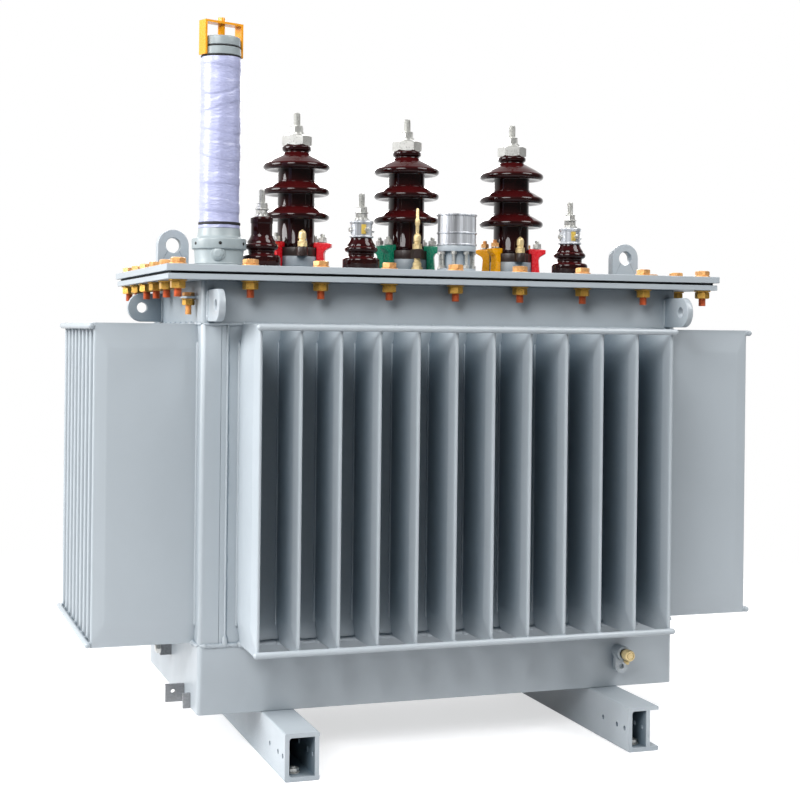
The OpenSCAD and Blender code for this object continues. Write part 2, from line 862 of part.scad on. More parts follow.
module drain_knob() {
    color(brass) translate([drain_x, -tank_depth / 2 - drain_socket_length, drain_height])
        rotate([90, 0, 0]) {
            cylinder(d = drain_neck_d, h = drain_neck_length);
            translate([0, 0, drain_neck_length])
                cylinder(d = drain_knob_d, h = drain_knob_length - drain_neck_length);
        }
}

// A square plate that stands out from the left end of the lower band
module end_bracket(size, y, z) {
    translate([-tank_length / 2 - size[0], y, z]) rotate([90, 0, 0])
        linear_extrude(small_plate, center = true) square(size);
}

module earth_bracket(size, y, z) {
    hole = earth_hole_share * size;
    difference() {
        end_bracket(size, y, z);
        translate([-tank_length / 2 - hole[0], y, z + hole[1]]) rotate([90, 0, 0])
            cylinder(d = earth_hole_d, h = small_plate + 2 * eps, center = true);
    }
}

module small_brackets() {
    color(paint) {
        difference() {
            translate([drain_x, -tank_depth / 2 - drain_socket_length / 2, drain_height]) rotate([0, 90, 0])
                eye_plate(drain_socket_d / 2 + hasp_size, hasp_size, hasp_hole_d, small_plate);
            translate([drain_x, -tank_depth / 2, drain_height]) rotate([90, 0, 0])
                cylinder(d = drain_socket_d + 2 * seat_gap, h = drain_socket_length);
        }
        end_bracket(rear_bracket, rear_bracket_y, tank_z + rear_bracket_rise);
        earth_bracket(middle_bracket, middle_bracket_y, tank_z);
        end_bracket(front_bracket, front_bracket_y, tank_z);
    }
}

left_rail();
right_rail();
rail_plates();
tank_floor();
lower_band();
corner_posts();
front_wall();
rear_wall();
left_wall();
right_wall();
upper_band();
tank_flange();
cover_gasket();
cover_plate();
front_fins();
rear_fins();
left_fins();
right_fins();
fin_rods();
left_cover_lug();
right_cover_lug();
tank_lugs();
side_lugs();
hv_bosses();
hv_rings();
hv_bushing_left();
hv_bushing_middle();
hv_bushing_right();
hv_terminals();
red_clamps();
green_clamps();
yellow_clamps();
vent_plugs();
lv_bushing_left();
lv_bushing_middle();
lv_bushing_right();
lv_terminals();
lv_caps();
relief_pedestal();
relief_valve();
gauge_base();
gauge_tube();
gauge_cap();
gauge_bracket();
drain_socket();
drain_knob();
small_brackets();
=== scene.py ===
"""Dresses an oil-immersed distribution transformer: pressed fins, bushings, fittings and finishes."""
import math

import bmesh
import bpy
from bpy.props import FloatProperty, FloatVectorProperty, IntProperty, PointerProperty
from mathutils import Matrix, Vector, noise


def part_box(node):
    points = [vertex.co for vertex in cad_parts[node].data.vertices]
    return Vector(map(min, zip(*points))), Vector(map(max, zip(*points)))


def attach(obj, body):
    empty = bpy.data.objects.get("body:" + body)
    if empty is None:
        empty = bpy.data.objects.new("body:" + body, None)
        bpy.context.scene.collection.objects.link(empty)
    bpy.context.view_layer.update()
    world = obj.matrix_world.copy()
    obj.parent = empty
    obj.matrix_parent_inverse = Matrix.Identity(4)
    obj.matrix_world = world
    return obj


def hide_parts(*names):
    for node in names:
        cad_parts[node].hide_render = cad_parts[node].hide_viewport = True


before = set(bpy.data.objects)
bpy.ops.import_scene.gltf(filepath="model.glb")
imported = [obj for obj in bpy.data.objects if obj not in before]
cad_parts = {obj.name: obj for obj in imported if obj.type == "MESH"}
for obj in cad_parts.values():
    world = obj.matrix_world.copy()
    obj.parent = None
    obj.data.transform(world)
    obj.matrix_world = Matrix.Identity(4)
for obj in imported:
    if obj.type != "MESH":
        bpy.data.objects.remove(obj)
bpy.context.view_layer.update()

bl_info = {
    "name": "Distribution transformer",
    "version": (1, 0, 0),
    "blender": (4, 5, 0),
    "location": "View3D > Sidebar > Transformer",
    "description": "Dresses the transformer with its fins, bushings, fittings, fasteners and finishes",
    "category": "Object",
}

MM = 0.001
BODY = "root"


def box(node):
    """A node's lowest and highest corners, in millimetres."""
    low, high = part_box(node)
    return low / MM, high / MM


DECK_Z = box("cover_plate")[1].z
FLANGE_Z = box("tank_flange")[0].z
FIN_Z, UPPER_Z = (corner.z for corner in box("front_fins"))
TANK_LOW, TANK_HIGH = box("lower_band")
LUG_THICKNESS = 12
HV_NODES = ("hv_bushing_left", "hv_bushing_middle", "hv_bushing_right")
LV_NODES = ("lv_bushing_left", "lv_bushing_middle", "lv_bushing_right")

# The carried-over nodes and the finish that each one takes
NODE_FINISH = {
    "tank_paint": ("left_rail", "right_rail", "rail_plates", "tank_floor", "lower_band", "corner_posts",
                   "front_wall", "rear_wall", "left_wall", "right_wall", "upper_band", "tank_flange",
                   "cover_plate", "left_cover_lug", "right_cover_lug", "tank_lugs", "side_lugs", "hv_bosses",
                   "relief_pedestal"),
    # Painted shade: the small brackets take a darker grey on the left end
    "bracket_grey": ("small_brackets",),
    "gasket_rubber": ("cover_gasket",),
    "brown_casting": ("hv_rings",),
    "bracket_yellow": ("gauge_bracket",),
}

# Keeps the names of the finishes apart from the frame's own plain materials
FINISH_ENDING = "_finish"

# Nodes with holes through wide faces, which already have their rounded edges
DRILLED_NODES = ("left_rail", "right_rail", "rail_plates")


# Settings

def linear(red, green, blue):
    """A colour written as 0 to 255 display values, as the linear values that shaders take."""
    def channel(value):
        share = value / 255
        return share / 12.92 if share <= 0.04045 else ((share + 0.055) / 1.055) ** 2.4
    return channel(red), channel(green), channel(blue)


def colour_setting(name, description, display):
    return FloatVectorProperty(name=name, description=description, default=linear(*display), subtype="COLOR",
                               min=0.0, max=1.0)


def length_setting(name, description, millimetres):
    return FloatProperty(name=name, description=description, default=millimetres * MM, unit="LENGTH",
                         precision=4)


def count_setting(name, description, count):
    return IntProperty(name=name, description=description, default=count, min=2)


def angle_setting(name, description, degrees):
    return FloatProperty(name=name, description=description, default=math.radians(degrees), subtype="ANGLE")


def power_setting(name, description, watts):
    return FloatProperty(name=name, description=description, default=watts, unit="POWER")


def number_setting(name, description, number):
    return FloatProperty(name=name, description=description, default=number)


def in_mm(settings, *names):
    """The named length settings, in millimetres."""
    return [getattr(settings, name) / MM for name in names]


class TankSettings(bpy.types.PropertyGroup):
    """Sizes of the fins and welds"""
    long_fins: count_setting("Long fins", "Fins on the front and on the rear wall", 12)
    end_fins: count_setting("End fins", "Fins on each end wall", 9)
    fin_thickness: length_setting("Fin thickness", "Thickness of a fin across its pressed pocket", 15)
    fin_edge: length_setting("Fin edge", "Thickness of a fin along its pressed edges", 5)
    fin_nose: length_setting("Fin nose", "Length over which a fin narrows to its outer edge", 23)
    fin_pinch: length_setting("Fin pinch", "Length over which a fin is pinched at its top and bottom", 38)
    fin_lip: length_setting("Fin lip", "Height of the flat welded lip at the top and bottom of a fin", 5)
    fin_unevenness: length_setting("Fin unevenness", "How far a fin's sheet strays from flat", 0.5)
    rod_radius: length_setting("Tie rod radius", "Radius of the rods along the fin edges", 5.4)
    rod_overhang: length_setting("Tie rod overhang", "Length of the rods past the outer fins", 9)
    bead_radius: length_setting("Weld bead", "Radius of the weld beads on the tank seams", 3.4)
    post_leg: length_setting("Corner post leg", "Width of a corner post from the corner to its seam", 47)


class FastenerSettings(bpy.types.PropertyGroup):
    """Sizes of the cover bolts"""
    front_bolts: count_setting("Front bolts", "Bolts along the front edge of the cover", 9)
    end_bolts: count_setting("End bolts", "Bolts along each end, corners included", 6)
    bolt_inset: length_setting("Bolt inset", "Distance of the cover bolts from the cover edge", 24)
    bolt_radius: length_setting("Bolt radius", "Radius of a cover bolt's shank", 7)
    bolt_across: length_setting("Bolt across flats", "Width of a cover bolt's head and nut across flats", 24)
    head_height: length_setting("Head height", "Height of a cover bolt's head", 9)
    nut_height: length_setting("Nut height", "Height of a cover bolt's nut", 13)
    shank_below: length_setting("Shank below", "Length of a cover bolt below its nut", 14)


class FinishSettings(bpy.types.PropertyGroup):
    """Colours of the finishes"""
    paint: colour_setting("Tank paint", "Grey enamel of the tank", (170, 178, 184))
    # Painted shade: the colour that the paint, the gauge casting and the film darken to in narrow gaps and
    # creases
    gap_shade_paint: colour_setting("Deep paint", "Tone of paint and film in narrow gaps", (96, 114, 127))
    rubber: colour_setting("Gasket rubber", "Black rubber of the gasket and seals", (22, 22, 24))
    porcelain: colour_setting("Porcelain", "Brown glaze of the bushings", (34, 9, 9))
    # Partly painted light: a lighter red for the upward-facing tops of the sheds, standing for thin glaze
    # and for light falling from above
    thin_glaze_and_top_light: colour_setting("Thin glaze", "Glaze where it runs thin on top of the sheds", (60, 13, 14))
    casting: colour_setting("Brown casting", "Paint of the holding rings", (44, 30, 26))
    steel: colour_setting("Plated steel", "Zinc plated steel", (206, 206, 202))
    dark_steel: colour_setting("Dark steel", "Oiled dark steel", (70, 70, 70))
    # Base of the painted reflection streaks on the relief can and the low voltage caps
    chrome: colour_setting("Bright steel", "Bright rolled steel of the relief valve", (196, 199, 204))
    brass: colour_setting("Brass", "Brass of the plugs and the drain", (232, 208, 154))
    # Painted shade: the colour that the brass darkens to in grooves and under collars
    groove_shade_brass: colour_setting("Deep brass", "Tone of the brass in grooves and under collars", (70, 54, 30))
    zinc: colour_setting("Yellow zinc", "Yellow passivated zinc of the cover nuts", (204, 158, 72))
    copper: colour_setting("Copper head", "Orange finish of the cover bolts' heads", (234, 172, 110))
    shank: colour_setting("Copper shank", "Darker finish of the cover bolts' threads", (190, 98, 60))
    red: colour_setting("Red paint", "Phase paint of the left clamps", (218, 14, 32))
    green: colour_setting("Green paint", "Phase paint of the middle clamps", (5, 130, 98))
    yellow: colour_setting("Yellow paint", "Phase paint of the right clamps", (250, 172, 10))
    bracket: colour_setting("Bracket yellow", "Paint of the gauge's lifting bracket", (236, 156, 4))
    # Painted shade: a darker grey for the small brackets on the left end, standing in for the shade they sit
    # in
    grey: colour_setting("Bracket grey", "Paint of the small brackets on the left end", (124, 126, 129))
    gauge: colour_setting("Gauge casting", "Pale casting of the gauge's base and cap", (150, 160, 163))
    film: colour_setting("Wrap film", "Milky film wound round the gauge tube", (168, 172, 206))
    sticker: colour_setting("Blank sticker", "Plain sticker on the low voltage caps", (206, 176, 84))


class StageSettings(bpy.types.PropertyGroup):
    """Camera and light"""
    camera_place: FloatVectorProperty(name="Camera place", description="Where the camera stands",
                                      default=(-1.0077, -2.8571, 0.7452), subtype="TRANSLATION",
                                      unit="LENGTH")
    camera_turn: angle_setting("Camera turn", "Turn of the camera about the upright axis", -19.12)
    camera_roll: angle_setting("Camera roll", "Tilt of the camera about its own line of sight", 0.64)
    camera_lens: number_setting("Lens", "Focal length on a 36 mm sensor", 69.46)
    camera_shift: number_setting("Shift", "Upright shift of the picture frame", -0.0848)
    left_power: power_setting("Left light", "Power of the light on the left end", 290.0)
    front_power: power_setting("Front light", "Power of the light from the front left", 235.0)
    right_power: power_setting("Right light", "Power of the light from the front right", 205.0)
    rear_power: power_setting("Rear light", "Power of the light behind the transformer", 190.0)
    sky_level: number_setting("Sky level", "Strength of the light from all round", 0.13)


# Shapes, in millimetres

def at(x, y, z):
    return Matrix.Translation((x, y, z))


def turned_about(angle, axis="Z"):
    return Matrix.Rotation(math.radians(angle), 4, axis)


def middle_of(node):
    low, high = box(node)
    return (low + high) / 2


def over(node, z):
    """The place at a height on a node's upright middle line."""
    middle = middle_of(node)
    return at(middle.x, middle.y, z)


def sideways(place, angle, reach, z):
    """A place on the side of a round piece, with its upright axis turned outwards."""
    return place @ turned_about(angle) @ at(reach, 0, z) @ turned_about(90, "Y")


def circle(radius, height, sides):
    turns = [math.tau * step / sides for step in range(sides)]
    return [(radius * math.cos(turn), radius * math.sin(turn), height) for turn in turns]


def arc(centre_r, centre_z, radius, start, end, steps=6):
    """Outline points along an arc, with angles in degrees from straight out."""
    points = []
    for step in range(steps + 1):
        angle = math.radians(start + (end - start) * step / steps)
        points.append((centre_r + radius * math.cos(angle), centre_z + radius * math.sin(angle)))
    return points


def round_disc(radius, low, high, round_off):
    """Outline of a disc with rounded rims."""
    return [(0.0, low), *arc(radius - round_off, low + round_off, round_off, -90, 0, 4),
            *arc(radius - round_off, high - round_off, round_off, 0, 90, 4), (0.0, high)]


def skin(rows):
    """Faces between closed rows of points, one above the other."""
    count = len(rows[0])
    faces = []
    for low in range(0, (len(rows) - 1) * count, count):
        for index in range(count):
            after = (index + 1) % count
            faces.append((low + index, low + after, low + count + after, low + count + index))
    return faces


class Piece:
    """Gathers the vertices and faces of one piece, in millimetres"""

    def __init__(self):
        self.points = []
        self.faces = []

    def add(self, points, faces, place=Matrix()):
        start = len(self.points)
        self.points.extend(place @ Vector(point) for point in points)
        self.faces.extend([start + index for index in face] for face in faces)

    def loops(self, rows, place=Matrix()):
        """Skins closed rows of points and caps both ends."""
        count = len(rows[0])
        points = [point for row in rows for point in row]
        faces = skin(rows)
        for row, start, order in ((rows[0], 0, -1), (rows[-1], len(points) - count, 1)):
            centre = len(points)
            points.append(sum((Vector(point) for point in row), Vector()) / count)
            for index in range(count):
                pair = (start + index, start + (index + 1) % count)
                faces.append((*pair[::order], centre))
        self.add(points, faces, place)

    def turned(self, outline, place=Matrix(), sides=48):
        """Turns an outline of (radius, height) points about the local upright axis."""
        self.loops([circle(radius, height, sides) for radius, height in outline], place)

    def make(self, name, finish, nodes=(), crease=38):
        """Makes the object, gives it its finish, lets it ride on the body, and hides the nodes it stands
        for.
        """
        mesh = bpy.data.meshes.new(name)
        mesh.from_pydata([point * MM for point in self.points], [], self.faces)
        shape = bmesh.new()
        shape.from_mesh(mesh)
        bmesh.ops.remove_doubles(shape, verts=shape.verts, dist=1e-7)
        bmesh.ops.recalc_face_normals(shape, faces=shape.faces)
        shape.to_mesh(mesh)
        shape.free()
        mesh.polygons.foreach_set("use_smooth", [True] * len(mesh.polygons))
        mesh.set_sharp_from_angle(angle=math.radians(crease))
        mesh.materials.append(bpy.data.materials[finish + FINISH_ENDING])
        piece = bpy.data.objects.new(name, mesh)
        bpy.context.scene.collection.objects.link(piece)
        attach(piece, BODY)
        if nodes:
            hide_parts(*nodes)
        return piece


def hexagon(piece, across, low, high, place=Matrix(), chamfer=0.94, sides=36):
    """A hexagon with its corners chamfered at both ends, as on a nut or bolt head."""
    flat = across / 2
    disc = flat * chamfer
    slope = math.tan(math.radians(28))

    def row(height, from_disc):
        points = []
        for step in range(sides):
            angle = math.tau * step / sides
            corner = flat / math.cos((angle + math.pi / 6) % (math.pi / 3) - math.pi / 6)
            radius = disc if from_disc == 0 else corner
            drop = (corner - disc) * slope * from_disc
            points.append((radius * math.cos(angle), radius * math.sin(angle), height + drop))
        return points

    piece.loops([row(low, 0), row(low, 1), row(high, -1), row(high, 0)], place)


def threaded(piece, radius, low, high, place=Matrix(), pitch=1.75, sides=24):
    """A threaded stud with a chamfered end."""
    depth = pitch * 0.45
    outline = [(0.0, low)]
    for turn in range(int((high - low) / pitch)):
        outline += [(radius - depth, low + turn * pitch), (radius, low + (turn + 0.5) * pitch)]
    outline += [(radius - depth, high - pitch), (radius - 2 * depth, high), (0.0, high)]
    piece.turned(outline, place, sides)


def washer(piece, radius, low, high, place=Matrix(), sides=32):
    piece.turned(round_disc(radius, low, high, (high - low) * 0.3), place, sides)


def stacked(piece, place, low, rings):
    """Washers (radius, height) and nuts (across flats, height, turn), one on the other."""
    for size, height, *turn in rings:
        if turn:
            hexagon(piece, size, low, low + height, place @ turned_about(*turn))
        else:
            washer(piece, size, low, low + height, place)
        low += height


def bead(piece, start, end, radius, seed):
    """A rippled weld bead, half sunk in the plates that it joins."""
    start, end = Vector(start), Vector(end)
    length = (end - start).length
    axis = (end - start) / length
    side = axis.orthogonal().normalized()
    other = axis.cross(side)
    ripple_length, corners = 2.4, 8
    steps = max(4, int(length / ripple_length))
    rows = []
    for step in range(steps + 1):
        along = length * step / steps
        sway = noise.noise(Vector((seed, along * 0.045, 0.3)))
        ripple = 1 + 0.13 * math.sin(2.2 * step) + 0.28 * noise.noise(Vector((seed, along * 0.09, 4.1)))
        fade = min(1.0, 0.3 + along / (2 * radius), 0.3 + (length - along) / (2 * radius))
        centre = start + axis * along + (side + other) * sway * radius * 0.3
        swell = ripple * fade
        rows.append([centre + (side * x + other * y) * swell for x, y, _ in circle(radius, 0, corners)])
    piece.loops(rows)


def blob(piece, place, size, seed, sides=12, levels=6):
    """A small uneven lump of weld or paint."""
    rows = []
    for level in range(levels + 1):
        lift = math.pi * (level / levels - 0.5)
        row = []
        for x, y, z in circle(math.cos(lift), math.sin(lift), sides):
            swell = 1 + 0.3 * noise.noise(Vector((x, y, z)) * 1.4 + Vector((seed, 0, 0)))
            row.append(Vector(place) + Vector((x * size[0], y * size[1], z * size[2])) * swell)
        rows.append(row)
    piece.loops(rows)


def bevelled(piece, width, segments=3, angle=30):
    """Rounds the edges of a piece or node."""
    bevel = piece.modifiers.new("Edge rounding", "BEVEL")
    bevel.width = width * MM
    bevel.segments = segments
    bevel.limit_method = "ANGLE"
    bevel.angle_limit = math.radians(angle)
    bevel.harden_normals = True


# Finishes

def add_node(tree, kind, inputs):
    """Adds a node. Inputs that are other nodes' outputs are linked, and numbers and colours are set."""
    node = tree.nodes.new("ShaderNode" + kind)
    for name, value in inputs.items():
        if isinstance(value, bpy.types.NodeSocket):
            tree.links.new(value, node.inputs[name])
        else:
            node.inputs[name].default_value = value
    return node


class Finish:
    """A procedural finish with a varied tone, roughness and surface grain"""

    def __init__(self, name, colour, metallic, roughness, tone=0.06, tone_scale=5.0, stretch=(1, 1, 1)):
        material = bpy.data.materials.new(name + FINISH_ENDING)
        material.use_nodes = True
        self.tree = material.node_tree
        self.shader = self.tree.nodes["Principled BSDF"]
        self.shader.inputs["Metallic"].default_value = metallic
        place = self.add("TexCoord", {}).outputs["Object"]
        self.where = self.add("Mapping", {"Vector": place, "Scale": stretch}).outputs["Vector"]
        ramp = self.add("ValToRGB", {"Fac": self.cloud(tone_scale, 4.0)})
        for element, position, level in zip(ramp.color_ramp.elements, (0.3, 0.7), (1 - tone, 1 + tone)):
            element.position = position
            element.color = (*[min(1, value * level) for value in colour], 1)
        self.tone = ramp.outputs["Color"]
        self.link(self.tone, "Base Color")
        rough_cloud = self.cloud(tone_scale * 7, 3.0)
        spread = self.add("MapRange", {"Value": rough_cloud, "From Min": 0.3, "From Max": 0.7,
                                       "To Min": roughness[0], "To Max": roughness[1]})
        self.link(spread.outputs["Result"], "Roughness")
        self.last_bump = None

    def add(self, kind, inputs):
        return add_node(self.tree, kind, inputs)

    def link(self, source, name):
        self.tree.links.new(source, self.shader.inputs[name])

    def cloud(self, scale, detail):
        return self.add("TexNoise", {"Vector": self.where, "Scale": scale, "Detail": detail}).outputs["Fac"]

    def grain(self, scale, depth, detail=2.0):
        """Adds surface unevenness of the given scale, with its depth in millimetres."""
        height = self.cloud(scale, detail)
        bump = self.add("Bump", {"Height": height, "Strength": 1.0, "Distance": depth * MM})
        if self.last_bump:
            self.tree.links.new(self.last_bump, bump.inputs["Normal"])
        self.last_bump = bump.outputs["Normal"]
        self.link(self.last_bump, "Normal")
        return self

    def blend(self, share, colour, towards):
        """Blends the tone with a second colour, towards it or away from it as the share grows."""
        mix = self.add("Mix", {"Factor": share})
        mix.data_type = "RGBA"
        first, second = [socket for socket in mix.inputs if socket.type == "RGBA"]
        own, other = (first, second) if towards else (second, first)
        other.default_value = (*colour, 1)
        self.tree.links.new(self.tone, own)
        self.tone = next(socket for socket in mix.outputs if socket.type == "RGBA")
        self.link(self.tone, "Base Color")
        return self

    def shift(self, vector, axis, low, high, colour):
        """Blends the tone into a second colour as one part of a vector grows from low to high."""
        part = self.add("SeparateXYZ", {0: vector}).outputs[axis]
        share = self.add("MapRange", {"Value": part, "From Min": low, "From Max": high})
        return self.blend(share.outputs["Result"], colour, True)

    def facing(self):
        return self.add("NewGeometry", {}).outputs["Normal"]

    def painted_crevice_shade(self, distance, deep, clear=0.55):
        """Painted shade: blends the tone into a darker shade colour where the surface is hemmed in, as
        ambient occlusion sees it over a distance.
        """
        shade = self.add("AmbientOcclusion", {"Distance": distance * MM})
        shade.samples = 6
        level = self.add("MapRange", {"Value": shade.outputs["AO"], "From Min": 0.15, "From Max": clear})
        return self.blend(level.outputs["Result"], deep, False)

    def coat(self, weight, roughness):
        self.shader.inputs["Coat Weight"].default_value = weight
        self.shader.inputs["Coat Roughness"].default_value = roughness
        return self


def enamel(name, colour):
    return Finish(name, colour, 0.0, (0.22, 0.34), tone=0.05, tone_scale=40).grain(260, 0.1).coat(0.4, 0.12)


def plating(name, colour, tone=0.12, metallic=1.0):
    return Finish(name, colour, metallic, (0.24, 0.42), tone=tone, tone_scale=70).grain(700, 0.12)


def make_finishes(settings):
    """All the finishes of the transformer, by name."""
    paint = Finish("tank_paint", settings.paint, 0.0, (0.32, 0.42), tone=0.045, tone_scale=3.0)
    # Painted shade: the paint darkens towards the gap shade colour between the fins and in other hollows,
    # seen over 120 mm
    paint.grain(7, 1.2).grain(420, 0.06).painted_crevice_shade(120, settings.gap_shade_paint)
    Finish("gasket_rubber", settings.rubber, 0.0, (0.55, 0.75), tone=0.3, tone_scale=60).grain(300, 0.2)
    glaze = Finish("porcelain", settings.porcelain, 0.0, (0.05, 0.1), tone=0.32, tone_scale=28)
    # Lighter red where the surface faces up: thin glaze on the shed tops together with painted light from
    # above
    glaze.grain(30, 0.3).shift(glaze.facing(), "Z", 0.2, 0.75, settings.thin_glaze_and_top_light)
    glaze.shader.inputs["Specular IOR Level"].default_value = 0.33
    Finish("brown_casting", settings.casting, 0.0, (0.3, 0.5), tone=0.25, tone_scale=60).grain(220, 0.3)
    plating("plated_steel", settings.steel, 0.12, 0.7)
    plating("dark_steel", settings.dark_steel)
    # Painted reflection: strong upright streaks in the tone stand in for the surroundings mirrored in the
    # relief can and the low voltage caps
    rolled = Finish("bright_steel", settings.chrome, 0.35, (0.18, 0.3), tone=0.6, tone_scale=75,
                    stretch=(1, 1, 0.02))
    rolled.grain(60, 0.4)
    # Painted shade in the brass's grooves and under its collars
    plating("brass", settings.brass, 0.2, 0.35).painted_crevice_shade(8, settings.groove_shade_brass)
    plating("yellow_zinc", settings.zinc, 0.22, 0.6)
    plating("copper_head", settings.copper, 0.3, 0.4)
    plating("copper_shank", settings.shank, 0.3, 0.5)
    enamel("red_paint", settings.red)
    enamel("green_paint", settings.green)
    enamel("yellow_paint", settings.yellow)
    enamel("bracket_yellow", settings.bracket)
    # Painted shade: the brackets keep the darker grey on the left end and blend into the tank paint between
    # X = -0.1 m and X = 0.1 m
    grey = enamel("bracket_grey", settings.grey)
    grey.shift(grey.where, "X", -0.1, 0.1, settings.paint)
    casting = Finish("gauge_casting", settings.gauge, 0.0, (0.3, 0.42), tone=0.06, tone_scale=40)
    # Painted shade in the casting's grooves and joints
    casting.grain(380, 0.15).painted_crevice_shade(20, settings.gap_shade_paint)
    wrap = Finish("wrap_film", settings.film, 0.0, (0.3, 0.45), tone=0.09, tone_scale=22,
                  stretch=(1, 1, 2.6))
    # Painted shade at the foot of the film's wound laps and creases
    wrap.grain(55, 1.2, 5.0).grain(160, 0.5).coat(0.2, 0.15).painted_crevice_shade(3, settings.gap_shade_paint, 0.6)
    enamel("blank_sticker", settings.sticker)


class TRANSFORMER_OT_finishes(bpy.types.Operator):
    """Mixes the finishes and puts them on the carried-over nodes, with their edges rounded"""
    bl_idname = "transformer.finishes"
    bl_label = "Finishes"

    def execute(self, context):
        make_finishes(context.scene.transformer_finishes)
        for finish, nodes in NODE_FINISH.items():
            for node in nodes:
                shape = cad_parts[node]
                shape.data.materials.clear()
                shape.data.materials.append(bpy.data.materials[finish + FINISH_ENDING])
                if node not in DRILLED_NODES:
                    weld = shape.modifiers.new("Joined corners", "WELD")
                    weld.merge_threshold = 0.02 * MM
                    bevelled(shape, 1.1, 2, 40)
        return {"FINISHED"}


# Tank

# Where a fin's points lie: shares of its nose from the tip, of its pinch from the lip, and of its height
NOSE_SHARES = (1.6, 1.4, 1.25, 1.12, 1.05, 1.0, 0.95, 0.88, 0.75, 0.55, 0.35, 0.18)
PINCH_SHARES = (0.12, 0.3, 0.5, 0.7, 0.85, 0.93, 1.0, 1.07, 1.15, 1.35, 1.6, 2.0)
HEIGHT_SHARES = (0.2, 0.3, 0.4, 0.5)

# How far the corners of a fin's pocket are rounded off, as a share of its depth
POCKET_SOFTNESS = 0.03


def soft_least(values, softness):
    """The least of the values, with the change from one to the next rounded off."""
    return -softness * math.log(sum(math.exp(-value / softness) for value in values))


def fin_rows(settings, depth, height, seed):
    """Closed rows of points round one fin that reaches out along -Y, from its bottom to its top."""
    edge, full = (size / 2 for size in in_mm(settings, "fin_edge", "fin_thickness"))
    nose, pinch, lip, uneven = in_mm(settings, "fin_nose", "fin_pinch", "fin_lip", "fin_unevenness")
    root = [depth + 1, depth * 0.85, depth * 0.7]
    to_tips = root + [nose * share for share in NOSE_SHARES] + [edge]
    lower = [0.0, lip * 0.6, lip]
    lower += [lip + pinch * share for share in PINCH_SHARES] + [height * share for share in HEIGHT_SHARES]
    levels = lower + [height - level for level in reversed(lower[:-1])]
    tip_turns = [math.pi * (1 + step / 6) for step in range(1, 6)]

    def half(to_tip, level):
        to_end = min(level, height - level)
        rise = soft_least((to_tip / nose, max(0.0, to_end - lip) / pinch, 1.0), POCKET_SOFTNESS)
        return edge + (full - edge) * max(0.0, rise)

    rows = []
    for level in levels:
        left, right = [], []
        for to_tip in to_tips:
            y = to_tip - depth
            reach = half(to_tip, level)
            slack = uneven * (reach - edge) / (full - edge)
            stray = slack * noise.noise(Vector((seed * 3.7, y * 0.014, level * 0.006)))
            left.append((stray - reach, y, level))
            right.append((stray + reach, y, level))
        tip = [(edge * math.cos(turn), edge - depth + edge * math.sin(turn), level) for turn in tip_turns]
        rows.append(left + tip + right[::-1])
    return rows


def add_fin(piece, rows, place):
    """Skins one fin and closes its root and its ends with strips across the sheet."""
    count = len(rows[0])
    middle = count // 2
    points = [point for row in rows for point in row]
    faces = skin(rows)
    for start in (0, len(points) - count):
        for index in range(middle - 1):
            mirror = count - 1 - index
            faces.append((start + index, start + index + 1, start + mirror - 1, start + mirror))
        faces.append((start + middle - 1, start + middle, start + middle + 1))
    piece.add(points, faces, place)


def fin_banks(settings):
    """For each bank: its node, its turn, the places of its fins, its wall and its depth."""
    half = settings.fin_thickness / MM / 2
    banks = (("front_fins", 0, 0, settings.long_fins), ("rear_fins", 180, 0, settings.long_fins),
             ("left_fins", -90, 1, settings.end_fins), ("right_fins", 90, 1, settings.end_fins))
    for node, turn, along, count in banks:
        low, high = box(node)
        across = 1 - along
        first, last = low[along] + half, high[along] - half
        places = [first + (last - first) * index / (count - 1) for index in range(count)]
        yield node, turn, places, TANK_HIGH[across], high[across] - low[across]


class TRANSFORMER_OT_fins(bpy.types.Operator):
    """Presses the four banks of cooling fins and lays the tie rods along their edges"""
    bl_idname = "transformer.fins"
    bl_label = "Cooling fins"

    def execute(self, context):
        settings = context.scene.transformer_tank
        rods = Piece()
        for node, turn, places, wall, depth in fin_banks(settings):
            bank = Piece()
            for index, place in enumerate(places):
                side = place if turn in (0, 90) else -place
                spot = turned_about(turn) @ at(side, -wall, FIN_Z)
                add_fin(bank, fin_rows(settings, depth, UPPER_Z - FIN_Z, index + turn / 7), spot)
            bank.make("pressed_" + node, "tank_paint", (node,), crease=60)
            self.rod_pair(rods, settings, turn, places, wall + depth)
        rods.make("tie_rods", "tank_paint", ("fin_rods",), crease=60)
        return {"FINISHED"}

    def rod_pair(self, rods, settings, turn, places, reach):
        radius, overhang = in_mm(settings, "rod_radius", "rod_overhang")
        half = max(abs(place) for place in places) + overhang
        outline = [*arc(0.0, radius - half, radius, -90, 0, 5), *arc(0.0, half - radius, radius, 0, 90, 5)]
        for level in (FIN_Z + radius, UPPER_Z - radius):
            rod = turned_about(turn) @ at(0, -reach - radius * 0.9, level)
            rods.turned(outline, rod @ turned_about(90, "Y"), 20)
            for index, place in enumerate(places):
                lump = rod @ at(place, radius * 0.7, 0)
                size = (radius * 0.9, radius * 0.9, radius * 1.05)
                blob(rods, lump.translation, size, index + level * 0.009)


